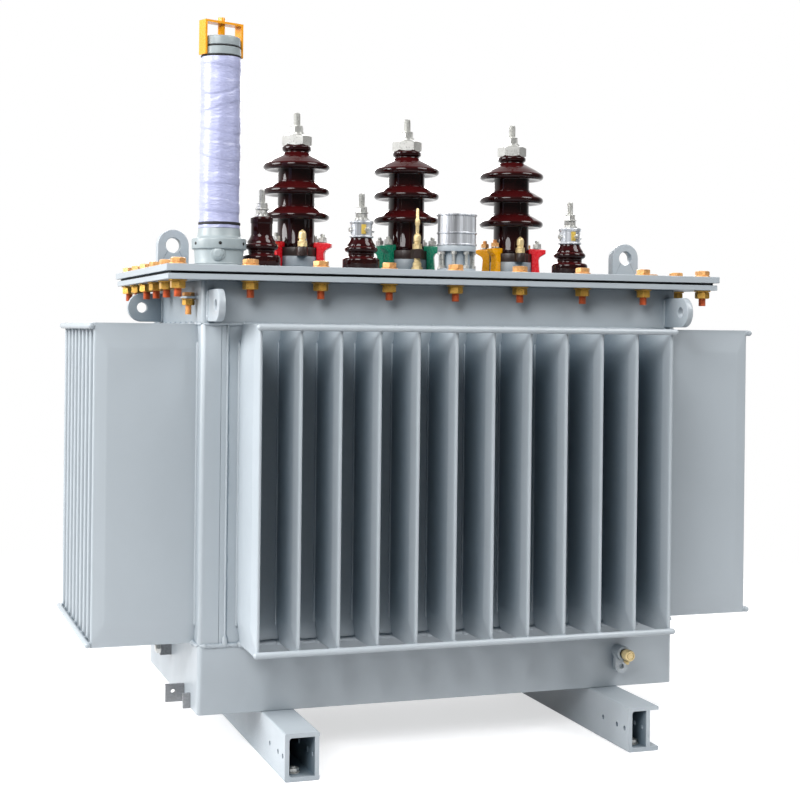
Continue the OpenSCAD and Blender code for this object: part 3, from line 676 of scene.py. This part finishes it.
class TRANSFORMER_OT_welds(bpy.types.Operator):
    """Runs weld beads along the tank seams, the fin roots and the lugs"""
    bl_idname = "transformer.welds"
    bl_label = "Weld beads"

    def execute(self, context):
        settings = context.scene.transformer_tank
        radius, leg = in_mm(settings, "bead_radius", "post_leg")
        welds = Piece()
        self.tank_seams(welds, leg, radius)
        self.fin_roots(welds, settings, radius)
        self.lug_fillets(welds, radius * 0.9)
        welds.make("tank_welds", "tank_paint", crease=80)
        return {"FINISHED"}

    def tank_seams(self, welds, leg, radius):
        x, y = TANK_HIGH.x, TANK_HIGH.y
        seed = 1.0
        for side in (-1, 1):
            for face in (-1, 1):
                seed += 2.3
                for spot in ((side * (x - leg), face * y), (side * x, face * (y - leg))):
                    bead(welds, (*spot, FIN_Z), (*spot, UPPER_Z), radius * 0.7, seed + spot[0] * MM)
                    size = (1.6 * radius, 1.6 * radius, 3.4 * radius)
                    blob(welds, (*spot, FIN_Z + 2 * radius), size, seed)
        for level, size in ((FIN_Z, radius * 1.2), (UPPER_Z, radius * 0.8)):
            for face in (-1, 1):
                seed += 1.7
                bead(welds, (-x + radius, face * y, level), (x - radius, face * y, level), size, seed)
                bead(welds, (face * x, -y + radius, level), (face * x, y - radius, level), size, seed + 1)

    def fin_roots(self, welds, settings, radius):
        thickness, pinch = in_mm(settings, "fin_thickness", "fin_pinch")
        clear, taper = pinch * 0.7, 8
        length = UPPER_Z - FIN_Z - 2 * clear
        fold = [(0.0, 0.0), (radius * 0.8, taper), (radius * 0.8, length - taper), (0.0, length)]
        for node, turn, places, wall, depth in fin_banks(settings):
            for index, place in enumerate(places):
                for side in (-thickness / 2, thickness / 2):
                    welds.turned(fold, turned_about(turn) @ at(place + side, -wall, FIN_Z + clear), 8)
                for level, size in ((FIN_Z, radius * 2.2), (UPPER_Z, radius * 1.4)):
                    spot = turned_about(turn) @ Vector((place, -wall, level))
                    blob(welds, spot, (size, size, size * 0.8), index * 1.3 + turn + level * MM)

    def lug_fillets(self, welds, radius):
        for node in ("left_cover_lug", "right_cover_lug"):
            low, high = box(node)
            for y in (low.y, high.y):
                bead(welds, (low.x, y, low.z), (high.x, y, low.z), radius, (low.x * 9 + y) * MM)
        side_low, side_high = box("side_lugs")
        lug_low, lug_high = box("tank_lugs")
        for side in (-1, 1):
            for face in (-1, 1):
                for x in (lug_high.x, lug_high.x - LUG_THICKNESS):
                    spot = (side * x, face * TANK_HIGH.y)
                    seed = x * 7 * MM + face + 3 * side
                    bead(welds, (*spot, lug_low.z), (*spot, lug_high.z), radius, seed)
            for y in (side_low.y, side_high.y):
                spot = (side * TANK_HIGH.x, y)
                bead(welds, (*spot, side_low.z), (*spot, side_high.z), radius, y * 5 * MM + side)


class TRANSFORMER_OT_cover_bolts(bpy.types.Operator):
    """Bolts the cover down all round, with heads above and nuts below the flange"""
    bl_idname = "transformer.cover_bolts"
    bl_label = "Cover bolts"

    def execute(self, context):
        settings = context.scene.transformer_fasteners
        heads, nuts, shanks = Piece(), Piece(), Piece()
        for index, (x, y) in enumerate(self.places(settings)):
            self.bolt(heads, nuts, shanks, settings, at(x, y, 0) @ turned_about(index * 37))
        heads.make("cover_bolts", "copper_head")
        nuts.make("cover_nuts", "yellow_zinc")
        shanks.make("cover_bolt_ends", "copper_shank")
        return {"FINISHED"}

    def places(self, settings):
        corner = box("cover_plate")[1]
        inset = settings.bolt_inset / MM
        x, y = corner.x - inset, corner.y - inset
        spots = []
        for index in range(settings.front_bolts):
            along = -x + 2 * x * index / (settings.front_bolts - 1)
            spots += [(along, -y), (along, y)]
        for index in range(1, settings.end_bolts - 1):
            along = -y + 2 * y * index / (settings.end_bolts - 1)
            spots += [(-x, along), (x, along)]
        return spots

    def bolt(self, heads, nuts, shanks, settings, spot):
        across, radius, head = in_mm(settings, "bolt_across", "bolt_radius", "head_height")
        nut, below = in_mm(settings, "nut_height", "shank_below")
        plate = 2.5
        deck, flange = spot @ at(0, 0, DECK_Z), spot @ at(0, 0, FLANGE_Z - plate)
        stacked(heads, deck, 0.0, ((across * 0.62, plate), (across, head, 0)))
        stacked(nuts, flange, -nut, ((across, nut, 0), (across * 0.66, plate)))
        threaded(shanks, radius, -nut - below, plate - nut, flange)


# High voltage side

class TRANSFORMER_OT_high_voltage(bpy.types.Operator):
    """Turns the three shed porcelain bushings and fits their terminals"""
    bl_idname = "transformer.high_voltage"
    bl_label = "High voltage bushings"

    def execute(self, context):
        terminals = Piece()
        for node in HV_NODES:
            low, high = box(node)
            bushing = Piece()
            bushing.turned(self.outline(high.z - low.z), over(node, low.z), 72)
            bushing.make("glazed_" + node, "porcelain", (node,), crease=50)
            self.terminal(terminals, over(node, high.z))
        terminals.make("hv_terminal_studs", "plated_steel", ("hv_terminals",))
        return {"FINISHED"}

    def outline(self, height):
        """The bushing's outline: a foot, two sheds with rounded rims, a bell and the head under the nut."""
        body, shed, rim, fillet = 35.5, 64, 7, 4
        neck, head, nut_seat = 24, 28, height - 7
        slope = ((55, 7), (50.5, 9.8), (45.5, 12.6), (40.5, 15.2), (37.5, 16.4), (37.5, 18), (35.5, 19))
        bell = ((55.5, 7.2), (51, 10.2), (45.5, 13.4), (39, 16.8), (33, 20), (28, 22.6), (24.8, 24.2),
                (24, 26))
        points = [(0.0, 0.0), (body + 1, 0.0), (body + 2, 1), (body + 2, 9), (body, 12)]
        for level, upper in ((62, slope), (110, slope), (158, bell)):
            points += arc(body + fillet, level - 5 - fillet, fillet, 180, 90, 4)
            points += [(44, level - 5.6), (52, level - 7.8)]
            points += arc(shed - rim, level - 2, rim, -80, 68, 10)
            points += [(radius, level + rise) for radius, rise in upper]
        points.append((neck, nut_seat - 10))
        points += arc(head - 4, nut_seat - 5, 4, -75, 0, 4)
        points += arc(head - 2, nut_seat - 2, 2, 0, 90, 4)
        return points + [(0.0, nut_seat)]

    def terminal(self, terminals, place):
        hexagon(terminals, 50, -7, 15, place @ turned_about(8), 0.9)
        stacked(terminals, place, 15, ((17, 3), (14, 2.5), (21, 10.5, 25), (11.5, 2)))
        threaded(terminals, 7, 32, box("hv_terminals")[1].z - place.translation.z, place)


# The clamps of each colour: their node, their paint, and the angles at which they stand round each bushing
CLAMP_SETS = (
    ("red_clamps", "red_paint", ((0, (-30, 30, 150, 210)), (2, (-30,)))),
    ("green_clamps", "green_paint", ((1, (-30, 30, 150, 210)),)),
    ("yellow_clamps", "yellow_paint", ((2, (30, 150, 210)),)),
)


class TRANSFORMER_OT_clamps(bpy.types.Operator):
    """Casts the coloured clamps that hold the bushings and bolts them down"""
    bl_idname = "transformer.clamps"
    bl_label = "Bushing clamps"

    def execute(self, context):
        steel_bolts, copper_bolts = Piece(), Piece()
        for node, finish, groups in CLAMP_SETS:
            cast = Piece()
            for phase, angles in groups:
                for angle in angles:
                    spot = over(HV_NODES[phase], DECK_Z) @ turned_about(angle)
                    self.claw(cast, spot)
                    self.bolt(copper_bolts if node == "yellow_clamps" else steel_bolts, steel_bolts, spot)
            bevelled(cast.make("cast_" + node, finish, (node,)), 2.2)
        steel_bolts.make("clamp_nuts_steel", "plated_steel")
        copper_bolts.make("clamp_nuts_copper", "copper_head")
        return {"FINISHED"}

    def claw(self, cast, spot):
        """A T-shaped claw: a bar over the porcelain's foot, a leg beside the ring and a flared foot."""
        reach, leg, outer, width, flare = 36.5, 42.5, 58.5, 7.5, 6
        end = reach + 34
        low, high = box("hv_rings")[1].z - DECK_Z, box("red_clamps")[1].z - DECK_Z
        outline = [(leg, 0.0), (outer + flare, 0.0), (outer + flare, flare), (outer, 2 * flare),
                   (outer - 2, low - 2 * flare), (outer, low - flare), (end, low + 1), (end, high - 2),
                   (reach + 2, high), (reach, high - 3), (reach, low), (leg, low)]
        rows = [[(x, side, z) for x, z in outline] for side in (-width, width)]
        count = len(outline)
        ends = [tuple(range(count)), tuple(range(2 * count - 1, count - 1, -1))]
        cast.add(rows[0] + rows[1], ends + skin(rows), spot)

    def bolt(self, nuts, washers, spot):
        here = spot @ at(53, 0, box("red_clamps")[1].z - DECK_Z)
        washer(washers, 9, -0.5, 1.5, here)
        hexagon(nuts, 14.5, 1.5, 10, here @ turned_about(20))
        threaded(nuts, 4.6, 9, 16, here, 1.5, 16)


class TRANSFORMER_OT_vents(bpy.types.Operator):
    """Turns the brass vent plugs and the tall bleeder beside the bushings"""
    bl_idname = "transformer.vents"
    bl_label = "Vent plugs"

    def execute(self, context):
        low, high = box("vent_plugs")
        ring_low, ring_high = box("hv_rings")
        inset = 11
        plugs, collar = Piece(), Piece()
        for node in (HV_NODES[0], HV_NODES[2]):
            self.plug(plugs, at(middle_of(node).x, ring_low.y + inset, ring_high.z))
        foot = at(0.0, low.y + inset * math.cos(math.pi / 6), DECK_Z)
        self.bleeder(plugs, collar, foot, ring_high.z - DECK_Z, high.z - DECK_Z)
        plugs.make("brass_vent_plugs", "brass", ("vent_plugs",))
        collar.make("bleeder_collar", "brown_casting")
        return {"FINISHED"}

    def plug(self, plugs, place):
        """A hexagon, a collar and a domed cap with a small neck."""
        stacked(plugs, place, 0.0, ((16, 9, 0), (9, 2)))
        plugs.turned([(0.0, 11), (6.2, 11), (6.2, 15), (7.2, 16), (7.2, 22), *arc(0.0, 25, 7, 0, 80, 7),
                      (1.6, 32.4), (1.2, 33), (0.0, 33)], place, 32)

    def bleeder(self, plugs, collar, place, ring, top):
        hexagon(collar, 22, ring - 17, ring + 1, place @ turned_about(12))
        hexagon(plugs, 19, 0.0, 15, place)
        plugs.turned([(0.0, 15), (8.5, 15), (8.5, 22), (6, 25), (6, 33), (8, 35), (8, ring), (0.0, ring)],
                     place, 32)
        self.plug(plugs, place @ at(0, 0, ring))
        plugs.turned([(0.0, ring + 30), (3.4, ring + 30), (3.4, ring + 46), (4.8, ring + 49),
                      (4.8, ring + 58), (3, ring + 61), (3, top - 2), (2, top), (0.0, top)], place, 24)


# Low voltage side

class TRANSFORMER_OT_low_voltage(bpy.types.Operator):
    """Turns the low voltage bushings, their metal caps and their terminals"""
    bl_idname = "transformer.low_voltage"
    bl_label = "Low voltage bushings"

    def execute(self, context):
        terminals, caps, screws, stickers = Piece(), Piece(), Piece(), Piece()
        cap_low, cap_high = box("lv_caps")
        for node in LV_NODES:
            low, high = box(node)
            bare = node == LV_NODES[0]
            bushing = Piece()
            bushing.turned(self.outline(high.z - low.z, bare), over(node, low.z), 56)
            bushing.make("glazed_" + node, "porcelain", (node,), crease=50)
            self.terminal(terminals, over(node, cap_high.z))
            if not bare:
                self.cap(caps, screws, stickers, over(node, cap_low.z), cap_high.z - cap_low.z)
        terminals.make("lv_terminal_studs", "plated_steel", ("lv_terminals",))
        caps.make("lv_metal_caps", "bright_steel", ("lv_caps",))
        screws.make("lv_cap_screws", "plated_steel")
        stickers.make("lv_blank_stickers", "blank_sticker")
        return {"FINISHED"}

    def outline(self, height, bare):
        """The bushing's outline: a foot, a groove, a shed and a neck, with a round head where it is bare."""
        foot, groove, shed, neck = 35, 24, 31, 19.5
        points = [(0.0, 0.0), (foot - 1, 0.0), (foot, 1), *arc(foot - 6, 21, 6, 0, 80, 6),
                  *arc(groove + 3, 30, 3, 250, 180, 3), *arc(groove + 2.5, 33.5, 2.5, 180, 100, 3),
                  *arc(shed - 6, 42, 6, -80, 75, 8), (26, 51), (22.5, 56), (20.2, 61), (neck, 64)]
        if bare:
            points += [(neck, height - 13), *arc(neck - 1, height - 10, 2, -60, 0, 3),
                       *arc(neck - 2, height - 3, 3, 0, 90, 4)]
        return points + [(0.0, height)]

    def terminal(self, terminals, place):
        stacked(terminals, place, 0.0, ((14, 3), (12, 2.5), (19, 8, 10), (12.5, 2.5), (19, 8, 34), (10, 2)))
        threaded(terminals, 6, 25, box("lv_terminals")[1].z - place.translation.z, place)

    def cap(self, caps, screws, stickers, place, height):
        """A turned cap with a rolled foot, clamping screws and a plain sticker."""
        wall = 22.5
        caps.turned([(0.0, 0.0), (wall - 1, 0.0), *arc(wall - 1.5, 2, 1.8, -90, 60, 5), (wall - 2.2, 5),
                     (wall - 2.2, height - 7), (wall - 1, height - 6),
                     *arc(wall - 3, height - 3, 3, 0, 90, 5), (0.0, height)], place, 48)
        for angle in (-80, 10, 190):
            hexagon(screws, 8, 0.0, 6, sideways(place, angle, wall - 3, height * 0.45))
        turns = [math.radians(angle) for angle in range(-108, -80, 5)]
        low, high = height * 0.2, height * 0.76
        outline = [(turn, low) for turn in turns] + [(turn, high) for turn in reversed(turns)]
        rows = [[(radius * math.cos(turn), radius * math.sin(turn), level) for turn, level in outline]
                for radius in (wall - 2, wall - 1.5)]
        stickers.loops(rows, place)


# Relief valve and oil gauge

class TRANSFORMER_OT_relief_valve(bpy.types.Operator):
    """Rolls the relief valve's can and bolts its pedestal"""
    bl_idname = "transformer.relief_valve"
    bl_label = "Relief valve"

    def execute(self, context):
        low, high = box("relief_valve")
        height, rim = high.z - low.z, 2
        wall = (high.x - low.x) / 2 - rim
        outline = [(0.0, 0.0), (wall, 0.0)]
        for level in (rim, height * 0.4, height - rim):
            outline += arc(wall, level, rim, -90, 90, 8)
        outline += [(wall - 2, height - 1.5), (wall - 5, height - 3), (0.0, height - 2)]
        can = Piece()
        can.turned(outline, over("relief_valve", low.z), 64)
        can.make("relief_can", "bright_steel", ("relief_valve",))
        self.studs()
        return {"FINISHED"}

    def studs(self):
        foot_low, foot_high = box("relief_pedestal")
        plate = (foot_high.z - foot_low.z) / 5
        low, high = foot_low.z + plate, foot_high.z - plate
        count, ring, first, nut = 8, 32, 14, 6
        studs = Piece()
        for index in range(count):
            spot = over("relief_valve", 0) @ turned_about(index * 360 / count + first) @ at(ring, 0, 0)
            threaded(studs, 3.4, low, high, spot, 1.5, 12)
            hexagon(studs, 10, low, low + nut, spot)
            hexagon(studs, 10, high - nut, high, spot)
        studs.make("relief_studs", "plated_steel")


# The edges of the film's turns: height share, tilt and step in millimetres
FILM_LAPS = ((0.10, 0.012, 0.9), (0.17, -0.02, -0.8), (0.26, 0.008, 0.8), (0.31, -0.012, -0.8),
             (0.42, 0.03, 0.9), (0.5, -0.01, -0.9), (0.57, 0.02, 0.8), (0.64, 0.01, -0.7),
             (0.71, -0.035, 0.9), (0.78, 0.05, -0.9), (0.84, -0.06, 1.0), (0.89, 0.03, -0.8),
             (0.94, -0.02, 0.8))
LAP_WIDTH = 0.6


class TRANSFORMER_OT_gauge(bpy.types.Operator):
    """Casts the oil gauge's base and cap and winds film round its tube"""
    bl_idname = "transformer.gauge"
    bl_label = "Oil gauge"

    def execute(self, context):
        self.base()
        self.film()
        self.cap()
        return {"FINISHED"}

    def base(self):
        low, high = box("gauge_base")
        place, height = over("gauge_tube", low.z), high.z - low.z
        tube, collar = 37, height - 18
        base, screws = Piece(), Piece()
        base.turned([(0.0, 0.0), *arc(43, 2, 2, -90, 0, 3), *arc(43, 5, 2, 0, 90, 3),
                     *arc(45, 9, 2, 270, 180, 3), (44.5, collar - 21), *arc(47, collar - 18, 2, -90, 0, 3),
                     *arc(46, collar - 3, 3, 0, 90, 4), *arc(45, collar + 6, 6, 270, 190, 5), (tube, height),
                     (0.0, height)], place, 64)
        stacked(base, sideways(place, -105, 42, 24), 0.0, ((12.5, 4), (18, 3, 0), (6, 1.5)))
        base.make("gauge_base_casting", "gauge_casting", ("gauge_base",))
        for angle in range(-160, 200, 60):
            hexagon(screws, 5.5, -1, 2, sideways(place, angle, 47.6, collar - 10))
        screws.make("gauge_base_screws", "dark_steel")

    def film(self):
        """The tube's wrapping: an uneven skin with wound creases and a loose lower end."""
        low, high = box("gauge_tube")
        radius, height = (high.x - low.x) / 2, high.z - low.z
        levels, sides = 220, 72
        turns = [math.tau * step / sides for step in range(sides)]
        rows = []
        for level in range(levels + 1):
            rise = level / levels
            z = low.z + height * rise
            row = []
            for turn in turns:
                stand = radius + self.film_stand(turn, rise, z, height)
                row.append((stand * math.cos(turn), stand * math.sin(turn), z))
            rows.append(row)
        wrap, seal = Piece(), Piece()
        wrap.loops(rows, over("gauge_tube", 0))
        wrap.make("gauge_film", "wrap_film", ("gauge_tube",), crease=180)
        seal.turned(round_disc(radius + 1.3, 6, 11, 1), over("gauge_tube", low.z), 64)
        seal.make("gauge_foot_seal", "gasket_rubber")

    def film_stand(self, turn, rise, z, height):
        """How far the film stands off the tube at a turn and a height."""
        x, y = math.cos(turn), math.sin(turn)
        wound = noise.noise(Vector((x * 1.2, y * 1.2, z * 0.046 + turn * 0.5)))
        folds = noise.noise(Vector((x * 2.6, y * 2.6, z * 0.017 - 3.1)))
        loose = max(0.0, 1 - rise * 16)
        flap = loose * (2.2 + 2.0 * noise.noise(Vector((x * 3.2, y * 3.2, z * 0.06))))
        gather = max(0.0, 1 - (1 - rise) * 30)
        laps = 0.0
        for share, tilt, step in FILM_LAPS:
            edge = share + tilt * math.cos(turn + 40 * share) + 0.006 * folds
            laps += step / (1 + math.exp((edge - rise) * height / LAP_WIDTH))
        return 0.35 * wound + 0.7 * folds + flap + laps - 1.2 * gather - 1.2

    def cap(self):
        low, high = box("gauge_cap")
        place, height = over("gauge_tube", low.z), high.z - low.z
        lower, upper, groove, joint = 35.5, 34.5, 32, height / 2
        cap, seals = Piece(), Piece()
        cap.turned([(0.0, 2), (lower - 1, 2), (lower, 3), (lower, joint - 2.5), (lower - 1, joint - 1.5),
                    (groove, joint - 1.5), (groove, joint + 1.5), (upper - 1, joint + 1.5),
                    (upper, joint + 2.5), *arc(upper - 3, height - 3, 3, 0, 90, 4), (0.0, height)],
                   place, 64)
        cap.make("gauge_cap_casting", "gauge_casting", ("gauge_cap",))
        foot_seal = [(0.0, -1), (lower, -1), *arc(lower - 0.6, 0.8, 1.6, -60, 60, 4), (0.0, 2.4)]
        joint_seal = [(0.0, joint - 1.5), *arc(groove + 1, joint, 1.4, -90, 90, 4), (0.0, joint + 1.5)]
        for outline in (foot_seal, joint_seal):
            seals.turned(outline, place, 64)
        seals.make("gauge_seals", "gasket_rubber")


# Lower fittings

class TRANSFORMER_OT_drain(bpy.types.Operator):
    """Fits the drain's pipe socket, stem and knob"""
    bl_idname = "transformer.drain"
    bl_label = "Drain valve"

    def execute(self, context):
        self.pipe()
        self.knob()
        return {"FINISHED"}

    def outwards_from(self, y):
        centre = middle_of("drain_socket")
        return at(centre.x, y, centre.z) @ turned_about(90, "X")

    def pipe(self):
        low, high = box("drain_socket")
        wall, bore, length = 12.5, 9, high.y - low.y
        pipe = Piece()
        pipe.turned([(0.0, 0.0), (wall, 0.0), (wall, length - 10), *arc(wall, length - 9, 1, -90, 0, 2),
                     *arc(wall - 0.5, length - 1.5, 1.5, 0, 90, 3), (bore + 0.5, length), (bore, length - 1),
                     (bore, length - 7), (0.0, length - 7)], self.outwards_from(high.y), 40)
        pipe.make("drain_pipe", "tank_paint", ("drain_socket",))

    def knob(self):
        low, high = box("drain_knob")
        grip, reach = 10.5, high.y - low.y
        place = self.outwards_from(high.y)
        knob = Piece()
        knob.turned([(0.0, -8), (6.3, -8), (6.3, 7), (grip - 1, 8), (grip, 9), (grip, reach - 2),
                     (grip - 1.5, reach), (7.5, reach), (7, reach - 1.4), (5.6, reach - 1.4), (5.1, reach),
                     (0.0, reach)], place, 40)
        washer(knob, 4.2, -3, 13, place @ at(2, -13, 0) @ turned_about(15, "X"), 20)
        knob.make("drain_brass_knob", "brass", ("drain_knob",))


class TRANSFORMER_OT_end_fittings(bpy.types.Operator):
    """Hangs the earth bolt from its tab on the left end and screws the bolt in the rear bracket"""
    bl_idname = "transformer.end_fittings"
    bl_label = "End fittings"

    def execute(self, context):
        wall = TANK_LOW.x
        tab_y, tab_z, half, thickness = -187, 800, 15, 4
        screw_y, screw_z, screw_reach = 11, 151, 20
        tab, bolt, nut, screw = Piece(), Piece(), Piece(), Piece()
        outline = [(1, -half), (1, half), (-20, half), (-27, 8), (-27, -8), (-20, -half)]
        root = at(wall, tab_y, tab_z)
        tab.loops([[(x, y, z) for x, y in outline] for z in (0.0, thickness)], root)
        for y, seed in ((-half, 3.0), (half, 8.0)):
            blob(tab, root @ Vector((0, y, thickness / 2)), (3, 3, 4), seed)
        bevelled(tab.make("earth_tab", "tank_paint"), 1, 2)
        spot = root @ at(-14, 0, 0)
        hexagon(bolt, 19, thickness, 11, spot @ turned_about(11))
        stacked(nut, spot, -12, ((19, 9.5, 25), (12, 2.5)))
        threaded(bolt, 5.8, -28, -10, spot)
        side = at(wall - screw_reach, screw_y, screw_z) @ turned_about(-90, "Y")
        stacked(screw, side, 0.0, ((17, 8, 0), (6, 2)))
        screw.make("bracket_screw", "plated_steel")
        bolt.make("earth_bolt", "copper_head")
        nut.make("earth_nut", "yellow_zinc")
        return {"FINISHED"}


class TRANSFORMER_OT_rail_nuts(bpy.types.Operator):
    """Sets a nut and washer in the foundation hole at each rail end"""
    bl_idname = "transformer.rail_nuts"
    bl_label = "Rail nuts"

    def execute(self, context):
        plate, side_inset, end_inset = 7.5, 22, 30
        nuts = Piece()
        for node in ("left_rail", "right_rail"):
            low, high = box(node)
            for y in (low.y + end_inset, high.y - end_inset):
                spot = at(low.x + side_inset, y, plate)
                stacked(nuts, spot, 0.0, ((12, 2), (18, 6.5, 17)))
                threaded(nuts, 6, 8, 10.5, spot)
        nuts.make("rail_end_nuts", "plated_steel")
        return {"FINISHED"}


# Stage, in metres

LAMPS = (
    ("left_light", (-4.6, 0.3, 2.5), "left_power"),
    ("front_light", (-3.1, -3.5, 3.6), "front_power"),
    ("right_light", (3.0, -2.6, 4.4), "right_power"),
    ("rear_light", (1.2, 4.8, 2.8), "rear_power"),
)
LAMP_SIZE = 3.0
LAMP_TARGET = Vector((0, 0, 0.6))
FLOOR_REACH = 5.0
FLOOR_DROP = 0.6 * MM
FLOOR_GLOW = 0.62


def worked_out(tree, operation, first, second):
    """The result of a sum or product of two outputs, or of an output and a number, from 0 to 1."""
    node = add_node(tree, "Math", {0: first, 1: second})
    node.operation = operation
    node.use_clamp = True
    return node.outputs[0]


def smooth_step(tree, value, low, high):
    """Rises smoothly from 0 to 1 as the value goes from low to high."""
    step = add_node(tree, "MapRange", {"Value": value, "From Min": low, "From Max": high})
    step.interpolation_type = "SMOOTHSTEP"
    return step.outputs["Result"]


def seen_and_mirrored(tree):
    """Which rays come from the camera, and which ones metal or glass sends on."""
    rays = add_node(tree, "LightPath", {}).outputs
    mirrored = worked_out(tree, "ADD", rays["Is Glossy Ray"], rays["Is Transmission Ray"])
    return rays["Is Camera Ray"], mirrored


class TRANSFORMER_OT_stage(bpy.types.Operator):
    """Sets the camera, the pale floor, the sky and the studio lights"""
    bl_idname = "transformer.stage"
    bl_label = "Stage"

    def execute(self, context):
        settings = context.scene.transformer_stage
        context.scene.view_settings.view_transform = "Standard"
        self.camera(context, settings)
        self.floor(context)
        self.sky(context, settings)
        for name, place, power in LAMPS:
            self.lamp(context, name, place, getattr(settings, power))
        return {"FINISHED"}

    def camera(self, context, settings):
        lens = bpy.data.cameras.new("view_camera")
        lens.sensor_width = 36.0
        lens.lens = settings.camera_lens
        lens.shift_y = settings.camera_shift
        lens.clip_end = 200.0
        camera = bpy.data.objects.new("view_camera", lens)
        turn = Matrix.Rotation(settings.camera_turn, 4, "Z") @ turned_about(90, "X")
        roll = Matrix.Rotation(settings.camera_roll, 4, "Z")
        camera.matrix_world = Matrix.Translation(settings.camera_place) @ turn @ roll
        context.scene.collection.objects.link(camera)
        context.scene.camera = camera

    def floor(self, context):
        rings, sides = 12, 64
        rows = [circle(FLOOR_REACH * ring / rings, 0.0, sides) for ring in range(1, rings + 1)]
        points = [point for row in rows for point in row]
        middle = len(points)
        fan = [((index + 1) % sides, index, middle) for index in range(sides)]
        mesh = bpy.data.meshes.new("pale_floor")
        mesh.from_pydata(points + [(0.0, 0.0, 0.0)], [], skin(rows) + fan)
        mesh.materials.append(self.floor_finish())
        floor = bpy.data.objects.new("pale_floor", mesh)
        floor.location.z = -FLOOR_DROP
        context.scene.collection.objects.link(floor)

    def floor_finish(self):
        """A pale floor that shows the shadow, reads white to the camera and fades out to the white sky."""
        material = bpy.data.materials.new("pale_floor")
        material.use_nodes = True
        tree = material.node_tree
        pale = tree.nodes["Principled BSDF"]
        pale.inputs["Base Color"].default_value = (0.62, 0.62, 0.63, 1)
        pale.inputs["Roughness"].default_value = 0.9
        pale.inputs["Specular IOR Level"].default_value = 0.0
        lift = worked_out(tree, "MULTIPLY", worked_out(tree, "ADD", *seen_and_mirrored(tree)), FLOOR_GLOW)
        glow = add_node(tree, "Emission", {"Strength": lift})
        lit = add_node(tree, "AddShader", {0: pale.outputs[0], 1: glow.outputs[0]})
        distance = add_node(tree, "VectorMath", {0: add_node(tree, "TexCoord", {}).outputs["Object"]})
        distance.operation = "LENGTH"
        fade = smooth_step(tree, distance.outputs["Value"], FLOOR_REACH * 0.24, FLOOR_REACH * 0.5)
        clear = add_node(tree, "BsdfTransparent", {})
        mix = add_node(tree, "MixShader", {0: fade, 1: lit.outputs[0], 2: clear.outputs[0]})
        tree.links.new(mix.outputs[0], tree.nodes["Material Output"].inputs["Surface"])
        return material

    def sky(self, context, settings):
        """A soft sky that reads white to the camera, and to mirrored rays that go to the rear."""
        world = bpy.data.worlds.new("white_sky")
        context.scene.world = world
        world.use_nodes = True
        tree = world.node_tree
        background = tree.nodes["Background"]
        background.inputs["Color"].default_value = (1, 1, 1, 1)
        seen, mirrored = seen_and_mirrored(tree)
        direction = add_node(tree, "TexCoord", {}).outputs["Generated"]
        rearward = add_node(tree, "SeparateXYZ", {0: direction}).outputs["Y"]
        behind = worked_out(tree, "MULTIPLY", mirrored, smooth_step(tree, rearward, 0.0, 0.8))
        white = worked_out(tree, "ADD", seen, behind)
        level = add_node(tree, "MapRange", {"Value": white, "To Min": settings.sky_level, "To Max": 1.0})
        tree.links.new(level.outputs["Result"], background.inputs["Strength"])

    def lamp(self, context, name, place, power):
        light = bpy.data.lights.new(name, "AREA")
        light.shape = "DISK"
        light.size = LAMP_SIZE
        light.energy = power
        lamp = bpy.data.objects.new(name, light)
        lamp.location = place
        lamp.rotation_euler = (LAMP_TARGET - Vector(place)).to_track_quat("-Z", "Y").to_euler()
        context.scene.collection.objects.link(lamp)


class TRANSFORMER_PT_panel(bpy.types.Panel):
    """Lists the pieces of the transformer in the order of their making"""
    bl_idname = "TRANSFORMER_PT_panel"
    bl_label = "Transformer"
    bl_space_type = "VIEW_3D"
    bl_region_type = "UI"
    bl_category = "Transformer"

    def draw(self, context):
        for operator in OPERATORS:
            self.layout.operator(operator.bl_idname)


OPERATORS = (
    TRANSFORMER_OT_stage, TRANSFORMER_OT_finishes, TRANSFORMER_OT_fins, TRANSFORMER_OT_welds,
    TRANSFORMER_OT_cover_bolts, TRANSFORMER_OT_high_voltage, TRANSFORMER_OT_clamps, TRANSFORMER_OT_vents,
    TRANSFORMER_OT_low_voltage, TRANSFORMER_OT_relief_valve, TRANSFORMER_OT_gauge, TRANSFORMER_OT_drain,
    TRANSFORMER_OT_end_fittings, TRANSFORMER_OT_rail_nuts,
)
SETTINGS = {
    "transformer_tank": TankSettings,
    "transformer_fasteners": FastenerSettings,
    "transformer_finishes": FinishSettings,
    "transformer_stage": StageSettings,
}


def register():
    for group in SETTINGS.values():
        bpy.utils.register_class(group)
    for name, group in SETTINGS.items():
        setattr(bpy.types.Scene, name, PointerProperty(type=group))
    for operator in OPERATORS:
        bpy.utils.register_class(operator)
    bpy.utils.register_class(TRANSFORMER_PT_panel)


def unregister():
    bpy.utils.unregister_class(TRANSFORMER_PT_panel)
    for operator in reversed(OPERATORS):
        bpy.utils.unregister_class(operator)
    for name in SETTINGS:
        delattr(bpy.types.Scene, name)
    for group in reversed(list(SETTINGS.values())):
        bpy.utils.unregister_class(group)


def main():
    register()
    for operator in OPERATORS:
        name = operator.bl_idname.split(".")[1]
        getattr(bpy.ops.transformer, name)()


if __name__ == "__main__":
    main()
